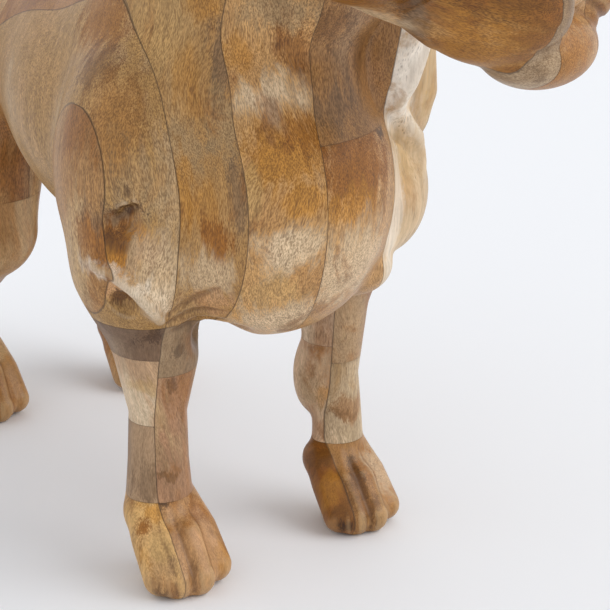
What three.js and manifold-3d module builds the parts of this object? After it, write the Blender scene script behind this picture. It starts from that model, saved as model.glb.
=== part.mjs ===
// A life-size standing bulldog carved from mango-wood boards that are glued side by side.
// Millimetres, +Z up. The dog looks along -Y, its left side is +X, and its paws stand on z = 0.
import * as THREE from 'three';
import { mergeVertices } from 'three/addons/utils/BufferGeometryUtils.js';
import Module from 'manifold-3d';

const wasm = await Module();
wasm.setup();

// Glued boards
const GLUE_LINE = 0.3; // between two neighbouring boards
const LEG_SEAM = 10; // from a leg's axis to the glue line that runs down it, towards the dog's right
const RIGHT_BOARD = 29; // board between the right leg's glue line and the broad middle board
const RIGHT_CAP = 8; // facing board on the right shoulder
const LEFT_CAP = 12; // facing board on the left shoulder
const CHEEK_BOARD = 44; // from the head's middle to its outer boards
const HEAD_STRIP = 16; // narrow strip beside the right cheek board
const BRIDGE_SEAM = 14; // from the head's middle to the glue line down its face
const NECK_BUTT = 13; // from the ribs' middle up to the foot of the neck board
const RIGHT_ELBOW_STRIP = 24; // lengths of the fore legs' upper blocks
const RIGHT_FOREARM_STRIP = 46;
const RIGHT_ELBOW_BLOCK = 36;
const LEFT_ELBOW_STRIP = 50;
const LEFT_ELBOW_BLOCK = 62;
const HOCK_BLOCK = 52;
const RIGHT_ENDS = [-66, 84]; // where the boards of a stave meet, along the dog
const MID_RIGHT_ENDS = [-92, 26, 140];
const MID_LEFT_ENDS = [-78, 48, 156];
const LEFT_ENDS = [-58, 92];
const RIGHT_MUZZLE_END = -42; // where muzzle and skull blocks meet, from the head's middle
const LEFT_MUZZLE_END = -48;
const DOWEL_RADIUS = 7;
const DOWEL_DEPTH = 24; // into each of the two pieces that it pins
const DOWEL_CLEARANCE = 0.3;

// Stance
const RIGHT_LEG_OUT = 64; // from the middle to the right fore leg's axis
const RIGHT_LEG_Y = -120;
const LEFT_LEG_OUT = 72;
const LEFT_LEG_Y = -103; // the left fore leg stands a little further back
const HIND_OUT = 64;
const HIND_Y = 190; // axis of the hind pasterns
const LEG_INSIDE = 30; // from a fore leg's axis to its inner side, under the breast
const GROIN = 4; // from the middle to the inner side of a hind leg
const ANKLE = 54; // glue line between leg and paw
const PASTERN_RADIUS = 21;
const RIGHT_PAW_SIZE = 1.06; // drawn for a pastern of 42 mm
const LEFT_PAW_SIZE = 0.93;
const HIND_PAW_SIZE = 0.95;
const RIGHT_HEADING = 8; // degrees that a paw turns towards the dog's left
const LEFT_HEADING = 12;

// Trunk
const TRUNK_HEIGHT = 274; // middle of the rib cage
const ELBOW_DROP = 100; // from there down to the glue line between shoulder and fore leg
const STIFLE_DROP = 94; // from there down to the glue line between thigh and hind leg
const RIB_RADII = [98, 140, 94];
const CHEST_RADII = [88, 88, 86];
const CHEST_Y = -128;
const KEEL_RADII = [62, 56, 54];
const WITHERS_RADII = [66, 90, 46];
const SHOULDER_REACH = 114; // from the middle to the outside of a shoulder
const SHOULDER_RADII = [32, 52, 68];
const ARM_RADII = [34, 44, 44];
const LOIN_RADII = [72, 112, 68];
const RUMP_RADII = [78, 72, 70];
const RUMP_Y = 176;
const WAIST_Y = 95; // narrowest part, between ribs and haunches
const THIGH_RADII = [40, 68, 84];
const NECK_RADIUS = 79;
const FOLD_RADIUS = 20; // of the skin that hangs from the jaw on the left
const TAIL_RADIUS = 24;

// Head
const HEAD_OUT = 44; // from the middle to the head's own middle
const HEAD_Y = -226;
const HEAD_RISE = 154; // above the middle of the rib cage
const HEAD_NOD = 8; // degrees
const HEAD_TURN = 32; // degrees to the dog's left
const SKULL_RADII = [80, 82, 60];
const BROW_RADII = [29, 26, 18];
const CHEEK_RADII = [40, 56, 46];
const MUZZLE_RADII = [52, 44, 38];
const FLEW_RADII = [36, 52, 40];
const CHIN_RADII = [46, 32, 23];
const NOSE_RADII = [25, 15, 16];
const NOSE_ROLL = 10; // radius of the wrinkle over the nose
const EYE_RADII = [15, 13, 13];
const EAR_RADIUS = 16; // at the root
const NECK_JOINT_AT = [0, 30, -44]; // from the head's middle
const NECK_JOINT_SLOPE = 26; // degrees below the head's own level
const NECK_DOWEL_BACK = 22; // along that glue line

// Facets
const LEG_SIDES = 20;
const PAW_SIDES = 30;
const TAPER_SIDES = 14;
const TAPER_RINGS = 8;
const DOWEL_SIDES = 12;

const MIDDLE = 0;
const FORE_JOINT = TRUNK_HEIGHT - ELBOW_DROP;
const HIND_JOINT = TRUNK_HEIGHT - STIFLE_DROP;
const RIGHT_SEAM = -RIGHT_LEG_OUT - LEG_SEAM;
const LEFT_SEAM = LEFT_LEG_OUT - LEG_SEAM;
const INNER_RIGHT_SEAM = RIGHT_SEAM + RIGHT_BOARD;
const RIGHT_CAP_SEAM = -SHOULDER_REACH + RIGHT_CAP;
const LEFT_CAP_SEAM = SHOULDER_REACH - LEFT_CAP;
const HIND_SEAMS = { right: -HIND_OUT - LEG_SEAM, left: HIND_OUT - LEG_SEAM };
const FAR = 700; // past the dog on every side

const vec = (x, y, z) => new THREE.Vector3(x, y, z);
const radians = THREE.MathUtils.degToRad;

// Carved masses: each is a function that is negative inside the wood

function oval(at, radii, tilt = [0, 0, 0]) {
  const toLocal = new THREE.Matrix4()
    .makeRotationFromEuler(new THREE.Euler(...tilt.map(radians), 'ZYX'))
    .transpose();
  const centre = vec(...at);
  const r = vec(...radii);
  const rr = r.clone().multiply(r);
  const q = vec(0, 0, 0);
  return (point) => {
    q.copy(point).sub(centre).applyMatrix4(toLocal);
    const near = Math.hypot(q.x / r.x, q.y / r.y, q.z / r.z);
    const slope = Math.hypot(q.x / rr.x, q.y / rr.y, q.z / rr.z);
    return slope > 0 ? (near * (near - 1)) / slope : -Math.min(...radii);
  };
}

function limb(...stations) {
  const spans = stations.slice(1).map((end, i) => {
    const start = stations[i];
    const line = new THREE.Line3(vec(...start.slice(0, 3)), vec(...end.slice(0, 3)));
    return { line, from: start[3], to: end[3] };
  });
  const foot = vec(0, 0, 0);
  return (point) => {
    let nearest = Infinity;
    for (const { line, from, to } of spans) {
      const t = line.closestPointToPointParameter(point, true);
      line.at(t, foot);
      nearest = Math.min(nearest, foot.distanceTo(point) - from - t * (to - from));
    }
    return nearest;
  };
}

function pair(mass) {
  const folded = vec(0, 0, 0);
  return (point) => mass(folded.set(Math.abs(point.x), point.y, point.z));
}

function merge(a, b, blend) {
  const h = Math.max(blend - Math.abs(a - b), 0) / blend;
  return Math.min(a, b) - (h * h * h * blend) / 6;
}

function carve(masses) {
  return (point) => {
    let depth = Infinity;
    for (const [mass, blend] of masses) depth = merge(depth, mass(point), blend);
    return depth;
  };
}

const rightLeg = limb(
  [-RIGHT_LEG_OUT - 8, RIGHT_LEG_Y + 4, FORE_JOINT + 26, 36],
  [-RIGHT_LEG_OUT - 2, RIGHT_LEG_Y + 1, FORE_JOINT - 14, 28],
  [-RIGHT_LEG_OUT, RIGHT_LEG_Y - 1, 2 * ANKLE, PASTERN_RADIUS - 3],
  [-RIGHT_LEG_OUT, RIGHT_LEG_Y, ANKLE + 22, PASTERN_RADIUS - 2],
  [-RIGHT_LEG_OUT, RIGHT_LEG_Y, ANKLE - 4, PASTERN_RADIUS],
);
const leftLeg = limb(
  [LEFT_LEG_OUT + 6, LEFT_LEG_Y + 2, FORE_JOINT + 22, 34],
  [LEFT_LEG_OUT + 1, LEFT_LEG_Y, FORE_JOINT - 24, 23],
  [LEFT_LEG_OUT, LEFT_LEG_Y - 1, ANKLE + 46, PASTERN_RADIUS - 4],
  [LEFT_LEG_OUT, LEFT_LEG_Y, ANKLE + 22, PASTERN_RADIUS - 5],
  [LEFT_LEG_OUT, LEFT_LEG_Y, ANKLE - 4, PASTERN_RADIUS - 3],
);
const leftCalf = oval([LEFT_LEG_OUT - 6, LEFT_LEG_Y + 9, ANKLE + 44], [15, 16, 30], [6, 0, 0]);
const stifle = limb(
  [HIND_OUT - 2, HIND_Y - 44, HIND_JOINT + 16, 40],
  [HIND_OUT, HIND_Y - 52, HIND_JOINT - 26, 33],
);
const gaskin = limb(
  [HIND_OUT + 2, HIND_Y - 44, HIND_JOINT - 32, 33],
  [HIND_OUT, HIND_Y + 6, ANKLE + 40, PASTERN_RADIUS],
);
const hock = limb(
  [HIND_OUT, HIND_Y + 14, ANKLE + 38, PASTERN_RADIUS - 3],
  [HIND_OUT, HIND_Y + 3, ANKLE + 14, PASTERN_RADIUS - 2],
  [HIND_OUT, HIND_Y, ANKLE - 12, PASTERN_RADIUS - 1],
);

const SHOULDER_OUT = SHOULDER_REACH - SHOULDER_RADII[0];
const trunkMasses = [
  [oval([0, -20, TRUNK_HEIGHT], RIB_RADII, [4, 0, 0]), 1],
  [oval([0, CHEST_Y, TRUNK_HEIGHT - 24], CHEST_RADII), 40],
  [oval([0, CHEST_Y - 18, TRUNK_HEIGHT - 60], KEEL_RADII), 34],
  [oval([0, -70, TRUNK_HEIGHT + 48], WITHERS_RADII, [14, 0, 0]), 40],
  [
    limb(
      [0, -84, TRUNK_HEIGHT + 44, NECK_RADIUS + 3],
      [6, -116, TRUNK_HEIGHT + 88, NECK_RADIUS],
      [16, -142, TRUNK_HEIGHT + HEAD_RISE - 30, NECK_RADIUS - 3],
    ),
    40,
  ],
  [oval([-SHOULDER_OUT, RIGHT_LEG_Y + 10, TRUNK_HEIGHT - 6], SHOULDER_RADII, [10, 6, 0]), 26],
  [oval([-RIGHT_LEG_OUT - 12, RIGHT_LEG_Y - 2, FORE_JOINT + 34], ARM_RADII, [-10, 0, 0]), 24],
  [oval([SHOULDER_OUT, LEFT_LEG_Y - 6, TRUNK_HEIGHT + 10], SHOULDER_RADII, [10, -6, 0]), 26],
  [oval([LEFT_LEG_OUT + 2, LEFT_LEG_Y, FORE_JOINT + 26], ARM_RADII.map((r) => r - 2), [-10, 0, 0]), 24],
  [oval([0, WAIST_Y, TRUNK_HEIGHT + 12], LOIN_RADII), 50],
  [oval([0, RUMP_Y, TRUNK_HEIGHT + 12], RUMP_RADII), 40],
  [pair(oval([HIND_OUT - 6, RUMP_Y, HIND_JOINT + 56], THIGH_RADII, [-14, 0, 0])), 30],
];

// Loose skin that hangs from the jaw down the left side of the chest, in five lobes
const foldMasses = [
  [
    limb(
      [SHOULDER_REACH - 44, -164, TRUNK_HEIGHT + 78, FOLD_RADIUS],
      [SHOULDER_REACH - 46, -168, TRUNK_HEIGHT + 42, FOLD_RADIUS - 1],
      [SHOULDER_REACH - 48, -170, TRUNK_HEIGHT + 14, FOLD_RADIUS - 7],
    ),
    12,
  ],
  [
    limb(
      [SHOULDER_REACH - 24, -160, TRUNK_HEIGHT + 82, FOLD_RADIUS + 2],
      [SHOULDER_REACH - 22, -154, TRUNK_HEIGHT + 48, FOLD_RADIUS + 4],
      [SHOULDER_REACH - 26, -152, TRUNK_HEIGHT + 22, FOLD_RADIUS - 4],
    ),
    8,
  ],
  [oval([SHOULDER_REACH - 28, -134, TRUNK_HEIGHT + 16], [27, 36, 44]), 7],
  [oval([SHOULDER_REACH - 34, -143, TRUNK_HEIGHT - 28], [31, 36, 38]), 8],
  [oval([SHOULDER_REACH - 54, -150, TRUNK_HEIGHT - 70], [28, 32, 26]), 9],
];
const legMasses = [
  [rightLeg, 22],
  [leftLeg, 22],
  [leftCalf, 8],
  [pair(stifle), 26],
  [pair(gaskin), 18],
  [pair(hock), 10],
];
const armpit = oval([-RIGHT_LEG_OUT + 28, RIGHT_LEG_Y - 32, FORE_JOINT - 14], [15, 30, 16]);
const ARMPIT_BLEND = 12;

const headMasses = [
  [oval([0, 28, 20], SKULL_RADII), 1],
  [pair(oval([35, -34, 46], BROW_RADII, [0, 10, 0])), 14],
  [pair(oval([58, 2, -4], CHEEK_RADII)), 22],
  [oval([0, -72, -14], MUZZLE_RADII), 16],
  [pair(oval([34, -64, -32], FLEW_RADII, [7, 10, 0])), 10],
  [pair(limb([50, -58, -4, NOSE_ROLL - 1], [32, -80, 14, NOSE_ROLL], [0, -88, 30, NOSE_ROLL + 1])), 7],
  [oval([0, -88, -63], CHIN_RADII), 6],
  [oval([0, -107, 8], NOSE_RADII), 4],
  [pair(oval([42, -56, 24], EYE_RADII)), 2],
];

const headFrame = new THREE.Matrix4()
  .makeRotationFromEuler(new THREE.Euler(radians(HEAD_NOD), 0, radians(HEAD_TURN), 'ZYX'))
  .setPosition(HEAD_OUT, HEAD_Y, TRUNK_HEIGHT + HEAD_RISE);
const worldToHead = headFrame.clone().invert();
const onHead = (x, y, z) => vec(x, y, z).applyMatrix4(headFrame);

const NECK_BLEND = 24;
const plainSkin = carve(trunkMasses);
const fullSkin = carve([...trunkMasses, ...foldMasses, ...legMasses]);
const bodySkin = (point) => -merge(-fullSkin(point), armpit(point), ARMPIT_BLEND);
const faceSkin = carve(headMasses);
const skullSkin = (point) => faceSkin(point.clone().applyMatrix4(worldToHead));
const headSkin = (point) => merge(plainSkin(point), skullSkin(point), NECK_BLEND);
const dogSkin = (point) => merge(bodySkin(point), skullSkin(point), NECK_BLEND);

// Outlines and lofts

const STEP = 5;

function leave(skin, centre, direction, reach) {
  const point = vec(0, 0, 0);
  const depthAt = (t) => skin(point.copy(direction).multiplyScalar(t).add(centre));
  let outside = STEP;
  while (outside < reach && depthAt(outside) < 0) outside += STEP;
  let inside = outside - STEP;
  for (let i = 0; i < 16; i += 1) {
    const half = (inside + outside) / 2;
    if (depthAt(half) < 0) inside = half;
    else outside = half;
  }
  depthAt(inside);
  return point.clone();
}

function evenAngles(sides) {
  return Array.from({ length: sides }, (_, i) => (360 * i) / sides);
}

function outline(skin, centre, across, up, angles, reach = 220) {
  return angles.map((degrees) => {
    const angle = radians(degrees);
    const direction = across.clone().multiplyScalar(Math.cos(angle)).addScaledVector(up, Math.sin(angle));
    return leave(skin, centre, direction, reach);
  });
}

// The point of a smooth axis at one value of a coordinate
function alongAxis(points, coordinate) {
  const line = new THREE.CatmullRomCurve3(points).getPoints(80);
  const miss = (point, value) => Math.abs(point[coordinate] - value);
  return (value) => {
    const at = line.reduce((best, p) => (miss(p, value) < miss(best, value) ? p : best)).clone();
    at[coordinate] = value;
    return at;
  };
}

function between(low, high, count) {
  return Array.from({ length: count }, (_, i) => low + ((high - low) * i) / (count - 1));
}

function middle(ring) {
  return ring.reduce((sum, p) => sum.add(p), vec(0, 0, 0)).divideScalar(ring.length);
}

// A closed body through the rings, with each end drawn in to a tip.
function loft(rings, firstTip = middle(rings[0]), lastTip = middle(rings.at(-1))) {
  const sides = rings[0].length;
  const points = [...rings.flat(), firstTip, lastTip];
  const first = points.length - 2;
  const last = points.length - 1;
  const end = (rings.length - 1) * sides;
  const faces = [];
  for (let i = 0; i < sides; i += 1) {
    const next = (i + 1) % sides;
    faces.push([first, next, i], [last, end + i, end + next]);
    for (let row = 0; row < end; row += sides) {
      const [a, b, c, d] = [row + i, row + next, row + sides + i, row + sides + next];
      faces.push([a, b, d], [a, d, c]);
    }
  }
  const volume = faces.reduce((sum, [a, b, c]) => sum + points[a].dot(points[b].clone().cross(points[c])), 0);
  const triangles = volume > 0 ? faces : faces.map(([a, b, c]) => [a, c, b]);
  const shape = new THREE.BufferGeometry();
  shape.setAttribute('position', new THREE.Float32BufferAttribute(points.flatMap((p) => p.toArray()), 3));
  shape.setIndex(triangles.flat());
  return solid(shape);
}

// Joining and cutting

function solid(shape) {
  const bare = shape.clone();
  bare.deleteAttribute('normal');
  bare.deleteAttribute('uv');
  const merged = mergeVertices(bare, 1e-4);
  return new wasm.Manifold(
    new wasm.Mesh({
      numProp: 3,
      vertProperties: new Float32Array(merged.attributes.position.array),
      triVerts: new Uint32Array(merged.index.array),
    }),
  );
}

function geometry(body) {
  const { vertProperties, triVerts, numProp } = body.getMesh();
  const shape = new THREE.BufferGeometry();
  const places = [];
  for (let i = 0; i < vertProperties.length; i += numProp) {
    places.push(vertProperties[i], vertProperties[i + 1], vertProperties[i + 2]);
  }
  shape.setAttribute('position', new THREE.Float32BufferAttribute(places, 3));
  shape.setIndex(Array.from(triVerts));
  return shape;
}

function box(low, high) {
  const shape = new THREE.BoxGeometry(high[0] - low[0], high[1] - low[1], high[2] - low[2]);
  shape.translate((low[0] + high[0]) / 2, (low[1] + high[1]) / 2, (low[2] + high[2]) / 2);
  return solid(shape);
}

// The space of one board: half a glue line is kept clear at every side that has a neighbour.
function boardSpace({ x = [-FAR, FAR], y = [-FAR, FAR], z = [-FAR, FAR] }, clear = GLUE_LINE / 2) {
  const low = [x[0], y[0], z[0]].map((side) => (side === -FAR ? side : side + clear));
  const high = [x[1], y[1], z[1]].map((side) => (side === FAR ? side : side - clear));
  return box(low, high);
}

function peg(from, to, radius) {
  const length = from.distanceTo(to);
  const shape = new THREE.CylinderGeometry(radius, radius, length, DOWEL_SIDES);
  const along = to.clone().sub(from).normalize();
  shape.applyQuaternion(new THREE.Quaternion().setFromUnitVectors(vec(0, 1, 0), along));
  shape.translate(...from.clone().add(to).divideScalar(2).toArray());
  return solid(shape);
}

// Wood tones
const woods = {
  honey: { color: 0xb98a55, roughness: 0.42, metalness: 0 },
  amber: { color: 0xa06c38, roughness: 0.42, metalness: 0 },
  cream: { color: 0xd2b389, roughness: 0.42, metalness: 0 },
  grey: { color: 0x8d7355, roughness: 0.45, metalness: 0 },
  dark: { color: 0x6f4c2c, roughness: 0.45, metalness: 0 },
  beech: { color: 0xd9bd94, roughness: 0.6, metalness: 0 },
};

const dog = new THREE.Group();

// Crumbs and slivers that a cut leaves are swept away.
const CRUMB = 1; // cubic millimetre
const SLIVER = 0.03;

function swept(body) {
  const pieces = body.decompose().filter((piece) => piece.volume() > CRUMB);
  return pieces.reduce((all, piece) => all.add(piece)).simplify(SLIVER);
}

function add(name, body, wood) {
  const mesh = new THREE.Mesh(geometry(swept(body)), new THREE.MeshStandardMaterial(woods[wood]));
  mesh.name = name;
  dog.add(mesh);
}

// Trunk: rings stand upright from the rump to the withers, then fan forward about a line above the neck
const FAN_Y = -60;
const FAN_Z = TRUNK_HEIGHT + 216;
const FAN_ANGLES = [0, 4, 7.5, 11, 14.5, 18, 22, 26, 30, 34, 38, 43, 48, 54, 62, 72, 84];
const FAN_DROP = 140; // from the fan's line to the middle of its outer rings
const FAN_TURN = 50; // degrees, where the rings' middles reach that drop
const TRUNK_RINGS = 15;
const RUMP_END = RUMP_Y + RUMP_RADII[1] - 1;

// Rays of a trunk ring, in degrees from the dog's left: close together where the legs leave the trunk.
const LEFT_RAYS = [
  -84, -78, -73, -69, -65, -61, -57, -53, -49, -44, -38, -31, -24, -17, -10, -3, 5, 14, 24, 35, 46, 58, 69, 80,
];
const TRUNK_RAYS = [-90, ...LEFT_RAYS, 90, ...LEFT_RAYS.map((angle) => 180 - angle).reverse()];

function trunkRings(skin) {
  const across = vec(1, 0, 0);
  const level = TRUNK_HEIGHT + 10;
  const rings = [];
  for (let i = 0; i < TRUNK_RINGS; i += 1) {
    const share = (i / TRUNK_RINGS) ** 1.25;
    const y = RUMP_END + share * (FAN_Y - RUMP_END);
    rings.push(outline(skin, vec(0, y, level), across, vec(0, 0, 1), TRUNK_RAYS));
  }
  for (const angle of FAN_ANGLES) {
    const up = vec(0, Math.sin(radians(angle)), Math.cos(radians(angle)));
    const drop = THREE.MathUtils.lerp(FAN_Z - level, FAN_DROP, Math.min(1, angle / FAN_TURN));
    const out = (HEAD_OUT * angle) / FAN_ANGLES.at(-1);
    const centre = vec(out, FAN_Y, FAN_Z).addScaledVector(up, -drop);
    rings.push(outline(skin, centre, across, up, TRUNK_RAYS));
  }
  return rings;
}

// The glue line under the head slopes down from the nape to the throat.
function beyondNeckJoint(side) {
  const shape = new THREE.BoxGeometry(FAR, FAR, FAR);
  shape.translate(0, 0, (side * (FAR - GLUE_LINE)) / 2);
  shape.rotateX(radians(NECK_JOINT_SLOPE));
  shape.translate(...NECK_JOINT_AT);
  shape.applyMatrix4(headFrame);
  return solid(shape);
}

// Room for the legs, under their glue lines
const FORE_LEGS = {
  right: { x: [-FAR, -RIGHT_LEG_OUT + LEG_INSIDE], z: [-FAR, FORE_JOINT] },
  left: { x: [LEFT_LEG_OUT - LEG_INSIDE, FAR], z: [-FAR, FORE_JOINT] },
};
const HIND_LEGS = {
  right: { x: [-FAR, -GROIN], z: [-FAR, HIND_JOINT] },
  left: { x: [GROIN, FAR], z: [-FAR, HIND_JOINT] },
};
const foreSpan = [-FAR, FAN_Y + 20];
const hindSpan = [HIND_Y - 130, FAR];

const legRoom = ['right', 'left'].flatMap((side) => [
  boardSpace({ ...FORE_LEGS[side], y: foreSpan }, -GLUE_LINE / 2),
  boardSpace({ ...HIND_LEGS[side], y: hindSpan }, -GLUE_LINE / 2),
]);
const trunk = legRoom.reduce(
  (rest, room) => rest.subtract(room),
  loft(trunkRings(dogSkin)).subtract(beyondNeckJoint(1)),
);

// Dowels: one in each leg joint and one in the neck
const jointSlope = radians(NECK_JOINT_SLOPE);
const dowelAt = vec(...NECK_JOINT_AT)
  .addScaledVector(vec(0, Math.cos(jointSlope), Math.sin(jointSlope)), NECK_DOWEL_BACK);
const dowelPlaces = {
  fore_right_dowel: [vec((RIGHT_SEAM + INNER_RIGHT_SEAM) / 2, RIGHT_LEG_Y, FORE_JOINT), vec(0, 0, 1)],
  fore_left_dowel: [vec(LEFT_SEAM + 2 * DOWEL_RADIUS, LEFT_LEG_Y, FORE_JOINT), vec(0, 0, 1)],
  hind_right_dowel: [vec((RIGHT_SEAM + INNER_RIGHT_SEAM) / 2, HIND_Y - 50, HIND_JOINT), vec(0, 0, 1)],
  hind_left_dowel: [vec(LEFT_SEAM + 2 * DOWEL_RADIUS, HIND_Y - 50, HIND_JOINT), vec(0, 0, 1)],
  neck_dowel: [
    onHead(...dowelAt.toArray()),
    vec(0, -Math.sin(jointSlope), Math.cos(jointSlope)).transformDirection(headFrame),
  ],
};
const bores = [];
for (const [name, [at, along]] of Object.entries(dowelPlaces)) {
  const ends = [-1, 1].map((end) => at.clone().addScaledVector(along, end * DOWEL_DEPTH));
  const play = along.clone().multiplyScalar(DOWEL_CLEARANCE);
  add(name, peg(ends[0], ends[1], DOWEL_RADIUS), 'beech');
  bores.push(peg(ends[0].clone().sub(play), ends[1].clone().add(play), DOWEL_RADIUS + DOWEL_CLEARANCE));
}

function bored(body) {
  return bores.reduce((rest, bore) => rest.subtract(bore), body);
}

const FACING_END = WAIST_Y / 2;
const rightFacing = { x: [-FAR, RIGHT_CAP_SEAM], y: [-FAR, FACING_END], z: [-FAR, TRUNK_HEIGHT + 30] };
const leftFacing = { x: [LEFT_CAP_SEAM, FAR], y: [-FAR, FACING_END], z: [-FAR, TRUNK_HEIGHT + 8] };
add('right_shoulder_facing', trunk.intersect(boardSpace(rightFacing)), 'honey');
add('left_shoulder_facing', trunk.intersect(boardSpace(leftFacing)), 'cream');
const trunkCore = trunk
  .subtract(boardSpace(rightFacing, -GLUE_LINE / 2))
  .subtract(boardSpace(leftFacing, -GLUE_LINE / 2));

// One stave of the trunk is cut into boards that stand side by side from chest to rump.
function stave(x, boards) {
  for (const { name, wood, ...sides } of boards) {
    add(name, bored(trunkCore.intersect(boardSpace({ x, ...sides }))), wood);
  }
}

stave([-FAR, RIGHT_SEAM], [
  { name: 'right_shoulder_board', wood: 'cream', y: [-FAR, WAIST_Y] },
  { name: 'right_haunch_board', wood: 'amber', y: [WAIST_Y, FAR] },
]);
stave([RIGHT_SEAM, INNER_RIGHT_SEAM], [
  { name: 'right_chest_board', wood: 'honey', y: [-FAR, RIGHT_ENDS[0]] },
  { name: 'right_rib_board', wood: 'amber', y: RIGHT_ENDS },
  { name: 'right_rump_board', wood: 'honey', y: [RIGHT_ENDS[1], FAR] },
]);
stave([INNER_RIGHT_SEAM, MIDDLE], [
  { name: 'mid_right_chest_board', wood: 'amber', y: [-FAR, MID_RIGHT_ENDS[0]] },
  { name: 'mid_right_rib_board', wood: 'cream', y: MID_RIGHT_ENDS.slice(0, 2) },
  { name: 'mid_right_loin_board', wood: 'honey', y: MID_RIGHT_ENDS.slice(1) },
  { name: 'mid_right_rump_board', wood: 'grey', y: [MID_RIGHT_ENDS[2], FAR] },
]);
const neckFoot = TRUNK_HEIGHT + NECK_BUTT;
stave([MIDDLE, LEFT_SEAM], [
  { name: 'mid_left_chest_board', wood: 'honey', y: [-FAR, MID_LEFT_ENDS[0]], z: [-FAR, neckFoot] },
  { name: 'mid_left_neck_board', wood: 'grey', y: [-FAR, MID_LEFT_ENDS[0]], z: [neckFoot, FAR] },
  { name: 'mid_left_rib_board', wood: 'amber', y: MID_LEFT_ENDS.slice(0, 2) },
  { name: 'mid_left_loin_board', wood: 'cream', y: MID_LEFT_ENDS.slice(1) },
  { name: 'mid_left_rump_board', wood: 'honey', y: [MID_LEFT_ENDS[2], FAR] },
]);
stave([LEFT_SEAM, FAR], [
  { name: 'left_chest_board', wood: 'cream', y: [-FAR, LEFT_ENDS[0]] },
  { name: 'left_rib_board', wood: 'honey', y: LEFT_ENDS },
  { name: 'left_rump_board', wood: 'amber', y: [LEFT_ENDS[1], FAR] },
]);

// A round taper through stations of x, y, z and radius
function taper(stations) {
  const line = new THREE.CatmullRomCurve3(stations.map(([x, y, z]) => vec(x, y, z)));
  const { normals, binormals, tangents } = line.computeFrenetFrames(TAPER_RINGS - 1);
  const radiusAt = (share) => {
    const place = share * (stations.length - 1);
    const i = Math.min(Math.floor(place), stations.length - 2);
    return THREE.MathUtils.lerp(stations[i][3], stations[i + 1][3], place - i);
  };
  const rings = normals.map((normal, i) => {
    const share = i / (TAPER_RINGS - 1);
    return evenAngles(TAPER_SIDES).map((degrees) => line.getPointAt(share)
      .addScaledVector(normal, radiusAt(share) * Math.cos(radians(degrees)))
      .addScaledVector(binormals[i], radiusAt(share) * Math.sin(radians(degrees))));
  });
  const tip = line.getPointAt(1).addScaledVector(tangents.at(-1), 0.6 * radiusAt(1));
  return loft(rings, middle(rings[0]), tip);
}

// Tail: short, and dropping behind the rump
const swollenTrunk = loft(trunkRings((point) => dogSkin(point) - GLUE_LINE));
const tail = taper([
  [0, RUMP_Y + 40, TRUNK_HEIGHT + 48, TAIL_RADIUS],
  [0, RUMP_Y + 68, TRUNK_HEIGHT + 42, TAIL_RADIUS - 4],
  [2, RUMP_Y + 87, TRUNK_HEIGHT + 26, TAIL_RADIUS - 8],
  [3, RUMP_Y + 95, TRUNK_HEIGHT + 10, TAIL_RADIUS - 14],
]);
add('tail', tail.subtract(swollenTrunk), 'honey');

// Head: upright outlines from the nape to the nose, cut off below at the neck's glue line
const NAPE = 132;
const FACE = -28;
const NOSE_TIP = -121;
const HEAD_SIDES = 40;
const headAxis = alongAxis([
  vec(0, NAPE + 10, -6),
  vec(0, 60, 6),
  vec(0, 0, 0),
  vec(0, -60, -16),
  vec(0, -106, -16),
  vec(0, -114, 2),
  vec(0, NOSE_TIP - 4, 8),
], 'y');

function headSolid(skin) {
  const across = vec(1, 0, 0).transformDirection(headFrame);
  const up = vec(0, 0, 1).transformDirection(headFrame);
  const places = [...between(NAPE, FACE, 13), ...between(FACE, NOSE_TIP, 18).slice(1)];
  const ringAt = (y) => outline(skin, onHead(...headAxis(y).toArray()), across, up, evenAngles(HEAD_SIDES), 150);
  return loft(places.map(ringAt));
}

const head = headSolid(headSkin).subtract(beyondNeckJoint(-1));

function headBoard(name, wood, x, y = [-FAR, FAR]) {
  const space = geometry(boardSpace({ x, y })).applyMatrix4(headFrame);
  add(name, bored(head.intersect(solid(space))), wood);
}

const STRIP_SEAM = HEAD_STRIP - CHEEK_BOARD;
headBoard('right_cheek_board', 'amber', [-FAR, -CHEEK_BOARD]);
headBoard('right_head_strip', 'grey', [-CHEEK_BOARD, STRIP_SEAM]);
headBoard('right_muzzle_block', 'amber', [STRIP_SEAM, BRIDGE_SEAM], [-FAR, RIGHT_MUZZLE_END]);
headBoard('right_skull_block', 'honey', [STRIP_SEAM, BRIDGE_SEAM], [RIGHT_MUZZLE_END, FAR]);
headBoard('left_muzzle_block', 'honey', [BRIDGE_SEAM, CHEEK_BOARD], [-FAR, LEFT_MUZZLE_END]);
headBoard('left_skull_block', 'amber', [BRIDGE_SEAM, CHEEK_BOARD], [LEFT_MUZZLE_END, FAR]);
headBoard('left_cheek_board', 'cream', [CHEEK_BOARD, FAR]);

// Ears: small folded flaps on the corners of the skull, cupped towards the front
const swollenHead = headSolid((point) => headSkin(point) - GLUE_LINE);
for (const [name, side] of [['right_ear', -1], ['left_ear', 1]]) {
  const place = ([x, y, z, radius]) => [...onHead(side * x, y, z).toArray(), radius];
  const flap = taper([
    [62, 20, 58, EAR_RADIUS],
    [84, 22, 68, EAR_RADIUS - 1],
    [98, 34, 58, EAR_RADIUS - 5],
    [102, 46, 42, EAR_RADIUS - 9],
  ].map(place));
  const cup = taper([
    [70, 2, 62, EAR_RADIUS - 9],
    [88, 6, 68, EAR_RADIUS - 7],
    [102, 18, 58, EAR_RADIUS - 9],
    [108, 32, 44, EAR_RADIUS - 12],
  ].map(place));
  add(name, flap.subtract(cup).subtract(swollenHead), 'amber');
}

// Legs: level outlines, one above the other
function levelRings(skin, heights, centreAt, sides, reach) {
  return heights.map((z) => outline(skin, centreAt(z), vec(1, 0, 0), vec(0, 1, 0), evenAngles(sides), reach));
}

function legBlocks(body, blocks) {
  for (const { name, wood, ...sides } of blocks) {
    add(name, bored(body.intersect(boardSpace(sides))), wood);
  }
}

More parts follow.
